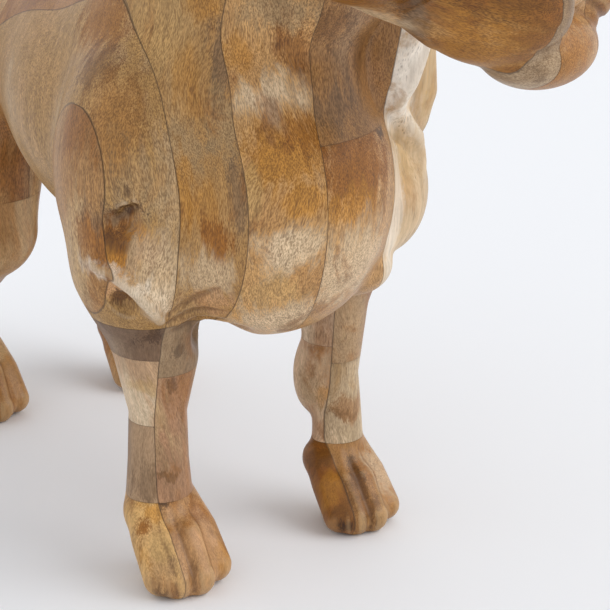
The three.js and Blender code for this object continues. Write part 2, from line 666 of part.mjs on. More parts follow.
function foreLegBody(x, y) {
  const heights = between(ANKLE - 10, FORE_JOINT + 14, 11);
  return loft(levelRings(bodySkin, heights, (z) => vec(x, y, z), LEG_SIDES, 62));
}

function hindLegBody(x) {
  const heights = between(ANKLE - 10, HIND_JOINT + 12, 14);
  const centreAt = alongAxis([
    vec(x, HIND_Y, ANKLE - 10),
    vec(x, HIND_Y + 12, ANKLE + 36),
    vec(x, HIND_Y - 16, ANKLE + 66),
    vec(x, HIND_Y - 42, HIND_JOINT - 20),
    vec(x, HIND_Y - 32, HIND_JOINT + 12),
  ], 'z');
  return loft(levelRings(bodySkin, heights, centreAt, LEG_SIDES, 90));
}

function below(joint, length) {
  return [joint - length, joint];
}

const [rightOutside, rightInside] = FORE_LEGS.right.x;
const forearmTop = FORE_JOINT - RIGHT_ELBOW_STRIP;
const wristTop = forearmTop - RIGHT_FOREARM_STRIP;
const rightStrip = [rightOutside, RIGHT_SEAM];
const rightBlock = [RIGHT_SEAM, rightInside];
legBlocks(foreLegBody(-RIGHT_LEG_OUT, RIGHT_LEG_Y), [
  { name: 'fore_right_elbow_strip', wood: 'dark', x: rightStrip, z: below(FORE_JOINT, RIGHT_ELBOW_STRIP) },
  { name: 'fore_right_forearm_strip', wood: 'cream', x: rightStrip, z: below(forearmTop, RIGHT_FOREARM_STRIP) },
  { name: 'fore_right_wrist_strip', wood: 'grey', x: rightStrip, z: [ANKLE, wristTop] },
  { name: 'fore_right_elbow_block', wood: 'grey', x: rightBlock, z: below(FORE_JOINT, RIGHT_ELBOW_BLOCK) },
  { name: 'fore_right_wrist_block', wood: 'honey', x: rightBlock, z: [ANKLE, FORE_JOINT - RIGHT_ELBOW_BLOCK] },
]);
const [leftInside, leftOutside] = FORE_LEGS.left.x;
const leftStrip = [leftInside, LEFT_SEAM];
const leftBlock = [LEFT_SEAM, leftOutside];
legBlocks(foreLegBody(LEFT_LEG_OUT, LEFT_LEG_Y), [
  { name: 'fore_left_elbow_strip', wood: 'cream', x: leftStrip, z: below(FORE_JOINT, LEFT_ELBOW_STRIP) },
  { name: 'fore_left_wrist_strip', wood: 'honey', x: leftStrip, z: [ANKLE, FORE_JOINT - LEFT_ELBOW_STRIP] },
  { name: 'fore_left_elbow_block', wood: 'honey', x: leftBlock, z: below(FORE_JOINT, LEFT_ELBOW_BLOCK) },
  { name: 'fore_left_wrist_block', wood: 'cream', x: leftBlock, z: [ANKLE, FORE_JOINT - LEFT_ELBOW_BLOCK] },
]);
for (const [name, side] of [['right', -1], ['left', 1]]) {
  const [outer, inner] = HIND_LEGS[name].x;
  const seam = HIND_SEAMS[name];
  const hockTop = ANKLE + HOCK_BLOCK;
  legBlocks(hindLegBody(side * HIND_OUT), [
    { name: `hind_${name}_gaskin_block`, wood: 'honey', x: [seam, inner], z: [hockTop, HIND_JOINT] },
    { name: `hind_${name}_gaskin_strip`, wood: 'amber', x: [outer, seam], z: [hockTop, HIND_JOINT] },
    { name: `hind_${name}_hock_block`, wood: 'grey', x: [outer, inner], z: [ANKLE, hockTop] },
  ]);
}

// Paws: a pad under four long toes that run down from the ankle, cut flat where they stand
const TOES = [[-22, -24, 12], [-8, -34, 12], [7, -34, 12], [20, -23, 11]]; // across, forward, radius

function pawSkin(leg, at, size, heading) {
  const turn = new THREE.Matrix4().makeRotationZ(radians(heading)).setPosition(at.x, at.y, 0);
  const place = (x, y, z) => vec(x * size, y * size, z * size).applyMatrix4(turn).toArray();
  const masses = [
    [limb([leg.x, leg.y, ANKLE + 30, PASTERN_RADIUS - 1], [leg.x, leg.y, ANKLE - 4, PASTERN_RADIUS - 1]), 1],
    [oval(place(0, -6, 18), [26, 30, 24].map((r) => r * size), [0, 0, heading]), 12],
  ];
  for (const [across, forward, radius] of TOES) {
    masses.push([
      limb(
        [...place(across * 0.55, 4, 44), 11 * size],
        [...place(across * 0.95, forward + 14, 27), (radius + 1) * size],
        [...place(across * 1.02, forward - 4, 11), radius * size],
      ),
      4,
    ]);
  }
  return carve(masses);
}

const PAW_HEIGHTS = [0, 5, 11, 18, 26, 34, 43, ANKLE + 6];
const rightFoot = vec(-RIGHT_LEG_OUT, RIGHT_LEG_Y, 0);
const leftFoot = vec(LEFT_LEG_OUT, LEFT_LEG_Y, 0);
const paws = [
  ['fore_right', rightFoot, [-1, -4], RIGHT_SEAM, RIGHT_PAW_SIZE, RIGHT_HEADING],
  ['fore_left', leftFoot, [1, -7], LEFT_SEAM, LEFT_PAW_SIZE, LEFT_HEADING],
  ['hind_right', vec(-HIND_OUT, HIND_Y, 0), [0, 0], HIND_SEAMS.right, HIND_PAW_SIZE, 0],
  ['hind_left', vec(HIND_OUT, HIND_Y, 0), [0, 0], HIND_SEAMS.left, HIND_PAW_SIZE, 0],
];
for (const [name, leg, [aside, forward], seam, pawSize, heading] of paws) {
  const at = leg.clone().add(vec(aside, forward, 0));
  const skin = pawSkin(leg, at, pawSize, heading);
  const body = loft(levelRings(skin, PAW_HEIGHTS, (z) => vec(at.x, at.y - 10, z), PAW_SIDES, 64));
  legBlocks(body, [
    { name: `${name}_paw_right_half`, wood: 'amber', x: [-FAR, seam], z: [-FAR, ANKLE] },
    { name: `${name}_paw_left_half`, wood: 'honey', x: [seam, FAR], z: [-FAR, ANKLE] },
  ]);
}

// The origin is under the middle of the dog, on the floor.
const { min, max } = new THREE.Box3().setFromObject(dog);
dog.position.set(-(min.x + max.x) / 2, -(min.y + max.y) / 2, -min.z);

export default dog;
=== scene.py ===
"""Looks of the standing bulldog: one carved skin, sawn into the frame's glued-up boards of mango wood."""
import math

import bmesh
import bpy
import numpy as np
import openvdb
from mathutils import Euler, Matrix, Vector


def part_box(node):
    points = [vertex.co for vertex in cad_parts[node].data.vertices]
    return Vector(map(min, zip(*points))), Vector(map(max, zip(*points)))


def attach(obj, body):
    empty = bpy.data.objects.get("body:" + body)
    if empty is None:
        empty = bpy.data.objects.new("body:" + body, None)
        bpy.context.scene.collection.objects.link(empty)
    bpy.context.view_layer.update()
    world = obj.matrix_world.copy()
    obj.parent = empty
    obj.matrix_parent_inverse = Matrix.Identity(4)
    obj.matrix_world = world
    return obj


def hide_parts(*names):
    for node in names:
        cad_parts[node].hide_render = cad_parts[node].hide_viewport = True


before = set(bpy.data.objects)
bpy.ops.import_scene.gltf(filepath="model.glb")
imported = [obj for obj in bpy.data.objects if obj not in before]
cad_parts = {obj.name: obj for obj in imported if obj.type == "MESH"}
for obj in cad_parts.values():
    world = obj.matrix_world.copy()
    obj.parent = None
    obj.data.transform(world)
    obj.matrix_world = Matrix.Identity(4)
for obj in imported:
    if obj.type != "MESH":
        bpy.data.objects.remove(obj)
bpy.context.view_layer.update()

MM = 0.001
FAR = 900.0  # millimetres, past the dog on every side
PITCH = 2.0  # spacing of the carved skin, in millimetres

# Glue lines, in the carving's own millimetres: +Z up, the dog looks along -Y, its left is +X
HALF_GLUE = 0.15
RIGHT_CAP_SEAM, RIGHT_SEAM, INNER_RIGHT_SEAM = -106, -74, -45
MIDDLE, LEFT_SEAM, LEFT_CAP_SEAM = 0, 62, 102
CHEEK_SEAM, STRIP_SEAM, BRIDGE_SEAM = 44, -28, 14
RIB_SEAM_Y = 26  # behind the rib board that is right of the middle

# Stance and trunk
RIGHT_LEG, LEFT_LEG = (-64, -120), (72, -103)
HIND_LEG = (64, 190)
FORE_JOINT, HIND_JOINT, ANKLE = 174, 180, 54
TRUNK = 274  # height of the middle of the rib cage
RUMP_Y, WAIST_Y = 176, 95

# Head
HEAD_AT = (44, -226, 428)
HEAD_NOD, HEAD_TURN = 8, 32  # degrees
NECK_JOINT_AT = (0, 30, -44)
NECK_JOINT_SLOPE = 26  # degrees
NECK_BLEND = 24

# The frame's rib board ends at two glue lines, which tie the carving to the frame.
rib_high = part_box("mid_right_rib_board")[1]
SHIFT = Vector((rib_high.x - (MIDDLE - HALF_GLUE) * MM, rib_high.y - (RIB_SEAM_Y - HALF_GLUE) * MM, 0))
head_frame = Matrix.Translation(HEAD_AT) @ Euler(
    (math.radians(HEAD_NOD), 0, math.radians(HEAD_TURN)), "XYZ").to_matrix().to_4x4()


# Carved masses

class Mass:
    """A form whose depth is negative inside it, with the corners of a box that holds it."""

    def __init__(self, depth, low, high):
        self.depth = depth
        self.low = np.array(low, float)
        self.high = np.array(high, float)


def oval(at, radii, tilt=(0, 0, 0)):
    """An ellipsoid, tilted by degrees about x, y and z."""
    centre = np.array(at, np.float32)
    r = np.array(radii, np.float32)
    turn = np.array(Euler([math.radians(a) for a in tilt], "XYZ").to_matrix(), np.float32)

    def depth(p):
        q = (p - centre) @ turn
        near = np.linalg.norm(q / r, axis=-1)
        slope = np.linalg.norm(q / (r * r), axis=-1)
        return np.where(slope > 1e-6, near * (near - 1) / np.maximum(slope, 1e-6), -r.min())

    reach = np.sqrt(((turn * r) ** 2).sum(1))
    return Mass(depth, centre - reach, centre + reach)


def limb(*stations):
    """Round spans from station to station, each an (x, y, z, radius)."""
    rows = np.array(stations, np.float32)

    def depth(p):
        nearest = None
        for start, end in zip(rows[:-1], rows[1:]):
            along = end[:3] - start[:3]
            t = np.clip(((p - start[:3]) @ along) / (along @ along), 0, 1)
            foot = start[:3] + t[..., None] * along
            d = np.linalg.norm(p - foot, axis=-1) - start[3] - t * (end[3] - start[3])
            nearest = d if nearest is None else np.minimum(nearest, d)
        return nearest

    widest = rows[:, 3:].max()
    return Mass(depth, rows[:, :3].min(0) - widest, rows[:, :3].max(0) + widest)


def mirrored(mass):
    """The same form on the other side."""
    flip = np.array((-1, 1, 1), np.float32)
    low, high = mass.low * flip, mass.high * flip
    return Mass(lambda p: mass.depth(p * flip), np.minimum(low, high), np.maximum(low, high))


def placed(mass, matrix):
    """The same form in a turned and moved frame."""
    turn = np.array(matrix.to_3x3(), np.float32)
    at = np.array(matrix.translation, np.float32)
    corners = [Vector((x, y, z)) for x in (mass.low[0], mass.high[0])
               for y in (mass.low[1], mass.high[1]) for z in (mass.low[2], mass.high[2])]
    spots = np.array([matrix @ corner for corner in corners])
    return Mass(lambda p: mass.depth((p - at) @ turn), spots.min(0), spots.max(0))


def moved(stations, matrix):
    """The same stations in a turned and moved frame."""
    return [(*(matrix @ Vector(row[:3])), row[3]) for row in stations]


def merge(a, b, blend):
    """Depths of two forms joined by a fillet as wide as the blend."""
    h = np.maximum(blend - np.abs(a - b), 0) / blend
    return np.minimum(a, b) - h * h * h * blend / 6


class Carving:
    """Depths on a grid of points."""

    CLEAR = 60  # depth of a point that no mass comes near
    BAND = 7  # grid steps around a mass that take its depth
    STATION_STEP = 4  # millimetres between the stations of a wrinkle
    LANDINGS = 8  # moves that bring a station onto the skin
    HOLLOW_REACH = 4.0  # millimetres over which a crease is felt

    def __init__(self, low, high):
        self.low = np.array(low, np.float32)
        count = np.ceil((np.array(high) - self.low) / PITCH).astype(int) + 1
        self.axes = [self.low[i] + PITCH * np.arange(count[i], dtype=np.float32) for i in range(3)]
        self.depth = np.full(count, self.CLEAR, np.float32)

    def near(self, mass, blend):
        """The part of the grid around a mass, as slices and as points."""
        margin = blend + self.BAND * PITCH
        spans = []
        for axis, low, high in zip(self.axes, mass.low, mass.high):
            first = int(np.searchsorted(axis, low - margin))
            last = int(np.searchsorted(axis, high + margin))
            spans.append(slice(first, last))
        points = np.stack(np.meshgrid(*[axis[s] for axis, s in zip(self.axes, spans)], indexing="ij"), -1)
        return tuple(spans), points

    def add(self, mass, blend):
        spans, points = self.near(mass, blend)
        if points.size:
            self.depth[spans] = merge(self.depth[spans], mass.depth(points), blend)

    def cut(self, mass, blend):
        spans, points = self.near(mass, blend)
        if points.size:
            self.depth[spans] = -merge(-self.depth[spans], mass.depth(points), blend)

    def sample(self, points):
        """Depths at loose points, between the grid's own."""
        place = (points - self.low) / PITCH
        first = np.clip(np.floor(place).astype(int), 0, np.array(self.depth.shape) - 2)
        t = place - first
        total = 0
        for corner in np.ndindex(2, 2, 2):
            share = np.prod(np.where(corner, t, 1 - t), axis=-1)
            i, j, k = (first + corner).T
            total = total + share * self.depth[i, j, k]
        return total

    def normals(self, points):
        step = np.eye(3) * PITCH
        slope = np.stack([self.sample(points + s) - self.sample(points - s) for s in step], -1)
        return slope / np.maximum(np.linalg.norm(slope, axis=-1, keepdims=True), 1e-9)

    def hollow(self, points):
        """How concave the skin is, in 1/mm: positive in a crease, negative on a ridge."""
        steps = np.eye(3) * self.HOLLOW_REACH
        around = sum(self.sample(points + step) + self.sample(points - step) for step in steps)
        return (6 * self.sample(points) - around) / self.HOLLOW_REACH ** 2

    def along_skin(self, stations):
        """Stations (x, y, z, radius) laid on the skin, with more of them between."""
        rows = np.array(stations, float)
        fine = [rows[:1]]
        for start, end in zip(rows[:-1], rows[1:]):
            steps = max(1, int(np.linalg.norm(end[:3] - start[:3]) / self.STATION_STEP))
            share = np.arange(1, steps + 1)[:, None] / steps
            fine.append(start + share * (end - start))
        rows = np.concatenate(fine)
        for _ in range(self.LANDINGS):
            rows[:, :3] -= self.sample(rows[:, :3])[:, None] * self.normals(rows[:, :3])
        return rows

    def groove(self, stations, blend):
        self.cut(limb(*self.along_skin(stations)), blend)

    def welt(self, stations, blend):
        self.add(limb(*self.along_skin(stations)), blend)

    def skin(self):
        """Points and quads of the surface, where the depth is nothing."""
        grid = openvdb.FloatGrid()
        grid.copyFromArray(self.depth)
        points, quads = grid.convertToQuads(0.0)
        return points * PITCH + self.low, quads


def trunk_masses():
    """(mass, blend, both sides) of ribs, chest, neck and haunches, without the legs."""
    fore = RIGHT_LEG[1]
    return [
        # Rib cage, chest, brisket and withers
        (oval((0, -20, TRUNK), (98, 140, 94), (4, 0, 0)), 1, False),
        (oval((0, -128, TRUNK - 24), (88, 88, 86)), 40, False),
        (oval((0, -146, TRUNK - 60), (62, 56, 54)), 34, False),
        (oval((0, -70, TRUNK + 48), (66, 90, 46), (14, 0, 0)), 40, False),
        # Neck and throat
        (limb((0, -84, TRUNK + 44, 82), (4, -110, TRUNK + 88, 77), (16, -142, TRUNK + 124, 76)), 40, False),
        (oval((-4, -138, TRUNK + 42), (62, 58, 42)), 30, False),
        # Shoulder and upper arm, on the right and on the left
        (oval((-82, fore + 10, TRUNK - 6), (32, 52, 68), (10, 6, 0)), 26, False),
        (oval((RIGHT_LEG[0] - 12, fore - 2, FORE_JOINT + 34), (34, 44, 44), (-10, 0, 0)), 24, False),
        (oval((82, LEFT_LEG[1] - 6, TRUNK + 10), (32, 52, 66), (10, -6, 0)), 26, False),
        (oval((LEFT_LEG[0] + 2, LEFT_LEG[1], FORE_JOINT + 26), (32, 42, 40), (-10, 0, 0)), 24, False),
        # Waist, rump and haunches
        (oval((0, WAIST_Y, TRUNK + 12), (72, 112, 68)), 50, False),
        (oval((0, RUMP_Y, TRUNK + 12), (78, 72, 70)), 40, False),
        (oval((HIND_LEG[0] - 6, RUMP_Y, HIND_JOINT + 56), (40, 68, 84), (-14, 0, 0)), 30, True),
    ]


def fold_masses():
    """(mass, blend) of the loose skin that hangs from the jaw down the left side of the chest."""
    return [
        # The front fold and the outer one
        (limb((71, -176, 352, 22), (68, -169, 318, 18), (65, -162, 290, 12)), 10),
        (limb((90, -160, 356, 20), (92, -155, 322, 18), (93, -153, 298, 19.5), (91, -152, 284, 17.5),
              (87, -150, 272, 11)), 7),
        # The slack below them, from the shoulder down to the arm
        (oval((86, -134, 290), (27, 36, 44)), 7),
        (oval((80, -143, 235), (30, 35, 43)), 8),
        (oval((62, -148, 212), (26, 30, 22)), 9),
        (oval((54, -150, 193), (27, 31, 21)), 6),
        # Wood left under the front fold
        (oval((80, -154, 268), (17, 18, 20)), 10),
    ]


SHOULDER_BULGE = (oval((-88, -146, 236), (14, 13, 14)), 8)
SHOULDER_HOLLOWS = (
    (oval((-106, -157, 242), (15, 14, 10), (0, 0, 20)), 10),  # the dimple
    (oval((-108, -157, 198), (19, 15, 10), (0, 35, 20)), 5),  # over the elbow
    (oval((-36, -152, 160), (15, 30, 16)), 12),  # the armpit
)

# Wrinkles on the trunk: stations (x, y, z, radius) near the skin, and how softly their edges run out
WELTS = (
    # Over the right elbow
    (((-112, -137, 214, 3), (-106, -149, 212, 3.5), (-97, -159, 203, 4.5), (-89, -163, 193, 4.5),
      (-80, -160, 180, 3)), 6),
    # Down the front fold and onto the slack
    (((83, -180, 336, 4), (79, -183, 322, 5), (75, -183, 308, 6), (72, -182, 297, 6), (80, -174, 284, 6),
      (89, -167, 272, 5), (95, -165, 259, 4), (94, -172, 247, 2)), 6),
)
GROOVES = (
    # The crease of the dimple and a nick over it
    (((-99, -148, 243, 2), (-96, -151, 248, 4), (-93, -156, 252, 3.5), (-90, -158, 253, 1.5)), 2),
    (((-96, -155, 256, 1), (-97, -155, 261, 2.5), (-99, -154, 268, 1)), 2),
    # Wrinkles from the right armpit
    (((-74, -160, 184, 1.5), (-66, -166, 190, 2.4), (-60, -172, 198, 2.4), (-53, -184, 206, 1)), 4),
    (((-72, -156, 178, 2), (-62, -161, 181, 2.8), (-54, -168, 187, 2.2), (-46, -178, 188, 1)), 4),
    (((-68, -150, 171, 1.5), (-57, -153, 173, 3), (-48, -163, 178, 2.4), (-42, -172, 180, 1.2)), 4),
    # Behind and under the front fold
    (((89, -176, 331, 1.5), (90, -173, 315, 2), (89, -171, 301, 2.5), (87, -171, 291, 2.5),
      (89, -169, 282, 2.5), (97, -163, 270, 1.5)), 3),
    (((66, -182, 284, 0.8), (71, -179, 278, 1.5), (82, -170, 266, 1.5), (87, -171, 257, 0.8)), 3),
)


def right_fore_leg():
    x, y = RIGHT_LEG
    return [
        (limb((x - 8, y + 4, FORE_JOINT + 26, 36), (x + 1, y + 1, FORE_JOINT - 14, 30), (x, y - 1, 108, 18),
              (x, y, ANKLE + 22, 19), (x, y, ANKLE - 4, 21)), 22),
    ]


def left_fore_leg():
    x, y = LEFT_LEG
    return [
        (limb((x + 6, y + 2, FORE_JOINT + 22, 34), (x + 1, y, FORE_JOINT - 24, 23), (x, y - 1, 100, 17),
              (x + 4, y, ANKLE + 22, 16), (x + 5, y, ANKLE - 4, 17)), 22),
        (oval((x - 6, y + 9, 98), (15, 16, 30), (6, 0, 0)), 8),
    ]


def hind_leg(side):
    x, y = HIND_LEG[0] * side, HIND_LEG[1]
    return [
        (limb((x - 2 * side, y - 44, HIND_JOINT + 16, 40), (x, y - 52, HIND_JOINT - 26, 33)), 26),
        (limb((x + 2 * side, y - 44, HIND_JOINT - 32, 33), (x, y + 6, ANKLE + 40, 21)), 18),
        (limb((x, y + 14, ANKLE + 38, 18), (x, y + 3, ANKLE + 14, 19), (x, y, ANKLE - 12, 20)), 10),
    ]


TOES = ((-15.5, -25, 10), (-7.5, -31, 11.5), (5.5, -32, 12), (21, -24, 10.5))  # across, forward, radius


def paw(size):
    """Masses of a foot with four long toes, from the ankle down towards -Y, and the grooves between them."""
    def at(x, y, z, *radius):
        return tuple(v * size for v in (x, y, z, *radius))

    masses = [(oval(at(1.5, -8, 20), at(19.5, 19, 22)), 10), (oval(at(-1, 0, 40), at(21, 20, 15)), 8)]
    for across, forward, radius in TOES:
        masses.append((limb(at(across * 0.7, 2, 44, 11), at(across * 0.9, forward + 12, 29, radius + 1),
                            at(across * 1.02, forward - 4, 11, radius)), 5))
    grooves = []
    for (left, near, _), (right, far, _) in zip(TOES, TOES[1:]):
        across, forward = (left + right) / 2, (near + far) / 2
        grooves.append((at(across * 0.7, -12, 50, 0.8), at(across * 0.95, forward + 7, 37, 1.4),
                        at(across * 1.02, forward - 13, 18, 1.8), at(across * 1.02, forward - 15, 2, 2)))
    return masses, grooves


# Where each paw stands, its size and its heading in degrees
PAWS = (
    (RIGHT_LEG[0] - 2, RIGHT_LEG[1] - 5, 1.03, 0),
    (LEFT_LEG[0] + 0.5, LEFT_LEG[1] - 4, 0.98, 2),
    (-HIND_LEG[0], HIND_LEG[1] - 3, 1, 0),
    (HIND_LEG[0], HIND_LEG[1] - 3, 1, 0),
)


def head_masses():
    """(mass, blend, both sides) in the head's own frame: x to its left, -y the way it looks."""
    return [
        # Skull, brow and cheek
        (oval((0, 28, 20), (80, 82, 60)), 1, False),
        (oval((35, -34, 46), (29, 26, 18), (0, 10, 0)), 14, True),
        (oval((58, 2, -4), (40, 56, 46)), 22, True),
        # Muzzle, flews, edge of the jaw, fold over the nose, chin
        (oval((0, -72, -14), (52, 44, 38)), 16, False),
        (oval((34, -64, -32), (36, 52, 40), (7, 10, 0)), 10, True),
        (limb((56, 6, -40, 8), (56, -14, -46, 8), (56, -34, -48, 8), (54, -50, -54, 9)), 8, True),
        (limb((50, -58, -4, 9), (32, -80, 14, 10), (0, -88, 30, 11)), 7, True),
        (oval((0, -88, -63), (46, 32, 23)), 6, False),
        # Nose and eye
        (oval((0, -108, 8), (26, 16, 16)), 3, False),
        (oval((42, -52, 24), (13, 13, 13)), 3, True),
    ]


# Lines cut into the face, in the head's own frame, the right side being the mirror of the left
FACE_GROOVES = (
    (((0, -70, 48, 2), (0, -44, 66, 4), (0, 0, 82, 4), (0, 40, 84, 2)), 8),  # furrow of the brow
    (((30, -70, 12, 1.5), (46, -64, 8, 2), (60, -46, 16, 1.5)), 3),  # under the eye
    (((26, -66, 30, 1.5), (40, -64, 38, 2), (57, -46, 36, 1.5)), 3),  # over the eye
    (((22, -98, 12, 2), (42, -84, -4, 3), (60, -60, -22, 3), (66, -34, -44, 2)), 5),  # behind the flews
    (((0, -118, -34, 2), (20, -118, -42, 2.5), (44, -106, -55, 2)), 3),  # mouth
    (((0, -122, -2, 1.5), (0, -120, -34, 1.5)), 2),  # under the nose
    (((14, -60, 62, 1.5), (34, -52, 66, 2.5), (58, -30, 58, 1.5)), 5),  # forehead
)
NOSTRIL = oval((11, -121, 7), (6, 8, 4.5), (0, 20, 0))
TOE_GROOVE_BLEND, NOSTRIL_BLEND = 3, 2
CARVING_LOW, CARVING_HIGH = (-136, -340, -8), (170, 296, 540)  # corners of the grid


def carve_dog():
    """The dog as one form, without the ears and tail that are glued on."""
    body = Carving(CARVING_LOW, CARVING_HIGH)
    for mass, blend, both in trunk_masses():
        body.add(mass, blend)
        if both:
            body.add(mirrored(mass), blend)
    four_legs = right_fore_leg() + left_fore_leg() + hind_leg(-1) + hind_leg(1)
    for mass, blend in fold_masses() + [SHOULDER_BULGE] + four_legs:
        body.add(mass, blend)
    for x, y, size, heading in PAWS:
        stand = Matrix.Translation((x, y, 0)) @ Matrix.Rotation(math.radians(heading), 4, "Z")
        masses, grooves = paw(size)
        for mass, blend in masses:
            body.add(placed(mass, stand), blend)
        for stations in grooves:
            body.groove(moved(stations, stand), TOE_GROOVE_BLEND)
    for mass, blend in SHOULDER_HOLLOWS:
        body.cut(mass, blend)
    for stations, blend in WELTS:
        body.welt(stations, blend)
    for stations, blend in GROOVES:
        body.groove(stations, blend)
    skull = Carving(CARVING_LOW, CARVING_HIGH)
    for mass, blend, both in head_masses():
        skull.add(placed(mass, head_frame), blend)
        if both:
            skull.add(placed(mirrored(mass), head_frame), blend)
    for stations, blend in FACE_GROOVES:
        skull.groove(moved(stations, head_frame), blend)
        other_side = [(-x, y, z, radius) for x, y, z, radius in stations]
        skull.groove(moved(other_side, head_frame), blend)
    for nostril in (NOSTRIL, mirrored(NOSTRIL)):
        skull.cut(placed(nostril, head_frame), NOSTRIL_BLEND)
    body.depth = merge(body.depth, skull.depth, NECK_BLEND)
    body.depth = np.maximum(body.depth, -body.axes[2][None, None, :])
    return body


def ear(side):
    """A small folded ear on the corner of the skull, cupped towards the front."""
    flap = limb((62, 20, 58, 16), (84, 22, 68, 15), (98, 34, 58, 11), (102, 46, 42, 7))
    cup = limb((70, 2, 62, 7), (88, 6, 68, 9), (102, 18, 58, 7), (108, 32, 44, 4))
    if side < 0:
        flap, cup = mirrored(flap), mirrored(cup)
    return [(placed(flap, head_frame), 1)], [(placed(cup, head_frame), 4)]


def tail():
    """A short tail that drops behind the rump."""
    return [(limb((0, 216, 322, 24), (0, 244, 316, 20), (2, 263, 300, 16), (3, 271, 284, 10)), 1)], []


def glued_on(masses, cuts):
    """A small piece carved to sit against the dog's skin."""
    margin = 3 * PITCH
    low = np.min([mass.low for mass, _ in masses], axis=0) - margin
    high = np.max([mass.high for mass, _ in masses], axis=0) + margin
    piece = Carving(low, high)
    for mass, blend in masses:
        piece.add(mass, blend)
    for mass, blend in cuts:
        piece.cut(mass, blend)
    points = np.stack(np.meshgrid(*piece.axes, indexing="ij"), -1)
    skin_depth = carving.sample(points.reshape(-1, 3)).reshape(piece.depth.shape)
    piece.depth = np.maximum(piece.depth, 2 * HALF_GLUE - skin_depth).astype(np.float32)
    return piece


# Sawing the skin into boards

def to_row(point):
    """A point of the carving, in the frame's metres."""
    return Vector(point) * MM + SHIFT


def skin_mesh(field):
    """The closed skin of a carving, in the frame's metres."""
    points, quads = field.skin()
    mesh = bpy.data.meshes.new("skin")
    mesh.from_pydata((points * MM + np.array(SHIFT)).tolist(), [], quads.tolist())
    body = bmesh.new()
    body.from_mesh(mesh)
    bpy.data.meshes.remove(mesh)
    drop_bubbles(body)
    return body


def drop_bubbles(body):
    """Keeps the outer skin alone, without closed hollows inside it."""
    body.verts.ensure_lookup_table()
    outer = max(body.verts, key=lambda v: v.co.z)
    found = {outer}
    front = [outer]
    while front:
        vert = front.pop()
        for edge in vert.link_edges:
            other = edge.other_vert(vert)
            if other not in found:
                found.add(other)
                front.append(other)
    bmesh.ops.delete(body, geom=[v for v in body.verts if v not in found], context="VERTS")


def saw(body, at, away):
    """Keeps the wood behind a plane, given in the frame's metres, and closes the cut."""
    kept = body.copy()
    parts = kept.verts[:] + kept.edges[:] + kept.faces[:]
    cut = bmesh.ops.bisect_plane(kept, geom=parts, dist=1e-7, plane_co=at, plane_no=away, clear_outer=True)
    rim = [edge for edge in cut["geom_cut"] if isinstance(edge, bmesh.types.BMEdge)]
    if rim:
        bmesh.ops.edgeloop_fill(kept, edges=rim)
    return kept


AXES = {"x": Vector((1, 0, 0)), "y": Vector((0, 1, 0)), "z": Vector((0, 0, 1))}
BUTT_CLOSENESS = 0.17  # millimetres by which an end joint's glue line is thinner than one along the grain


class Cut:
    """One glue line: a plane, and the way out of the board. Its closeness makes the line look thinner."""

    def __init__(self, at, away, closeness=0.0):
        self.at, self.away, self.closeness = at, away, closeness

    def saw(self, body):
        return saw(body, self.at - self.away * HALF_GLUE * MM, self.away)

    def distance(self, points):
        return (np.array(self.at) - points) @ np.array(self.away) / MM + self.closeness


class Notch:
    """A box of another piece, let into a board."""

    def __init__(self, x, y, z):
        sides = [(-FAR if low is None else low, FAR if high is None else high) for low, high in (x, y, z)]
        self.low = to_row([low for low, _ in sides])
        self.high = to_row([high for _, high in sides])

    def saw(self, body):
        gap = Vector((1, 1, 1)) * HALF_GLUE * MM
        size = self.high - self.low + 2 * gap
        corner = bmesh.new()
        bmesh.ops.create_cube(corner, size=1)
        bmesh.ops.scale(corner, vec=size, verts=corner.verts)
        bmesh.ops.translate(corner, vec=(self.low + self.high) / 2, verts=corner.verts)
        holders = []
        for part in (body, corner):
            mesh = bpy.data.meshes.new("notch")
            part.to_mesh(mesh)
            holders.append(bpy.data.objects.new("notch", mesh))
            bpy.context.collection.objects.link(holders[-1])
        tool = holders[0].modifiers.new("notch", "BOOLEAN")
        tool.operation = "DIFFERENCE"
        tool.object = holders[1]
        bpy.context.view_layer.update()
        left = bmesh.new()
        left.from_object(holders[0], bpy.context.evaluated_depsgraph_get())
        for holder in holders:
            bpy.data.objects.remove(holder)
        return left

    def distance(self, points):
        outside = np.maximum(np.array(self.low) - points, points - np.array(self.high))
        return np.linalg.norm(np.maximum(outside, 0), axis=1) / MM


def cuts(frame_matrix=Matrix.Identity(4), **sides):
    """The glue lines of a board from its (low, high) sides; None is an open side."""
    found = []
    for axis, (low, high) in sides.items():
        along = (frame_matrix.to_3x3() @ AXES[axis]).normalized()
        for level, away in ((low, -along), (high, along)):
            if level is not None:
                closeness = 0 if axis == "x" else BUTT_CLOSENESS
                found.append(Cut(to_row(frame_matrix @ (AXES[axis] * level)), away, closeness))
    return found


neck_away = head_frame.to_3x3() @ Vector(
    (0, -math.sin(math.radians(NECK_JOINT_SLOPE)), math.cos(math.radians(NECK_JOINT_SLOPE))))
neck_at = to_row(head_frame @ Vector(NECK_JOINT_AT))
BELOW_HEAD = Cut(neck_at, neck_away)
ABOVE_NECK = Cut(neck_at, -neck_away)


# Wood

def tone(code):
    """Linear colour from six hexadecimal digits."""
    parts = [int(code[i:i + 2], 16) / 255 for i in (0, 2, 4)]
    return (*[c / 12.92 if c <= 0.04045 else ((c + 0.055) / 1.055) ** 2.4 for c in parts], 1)


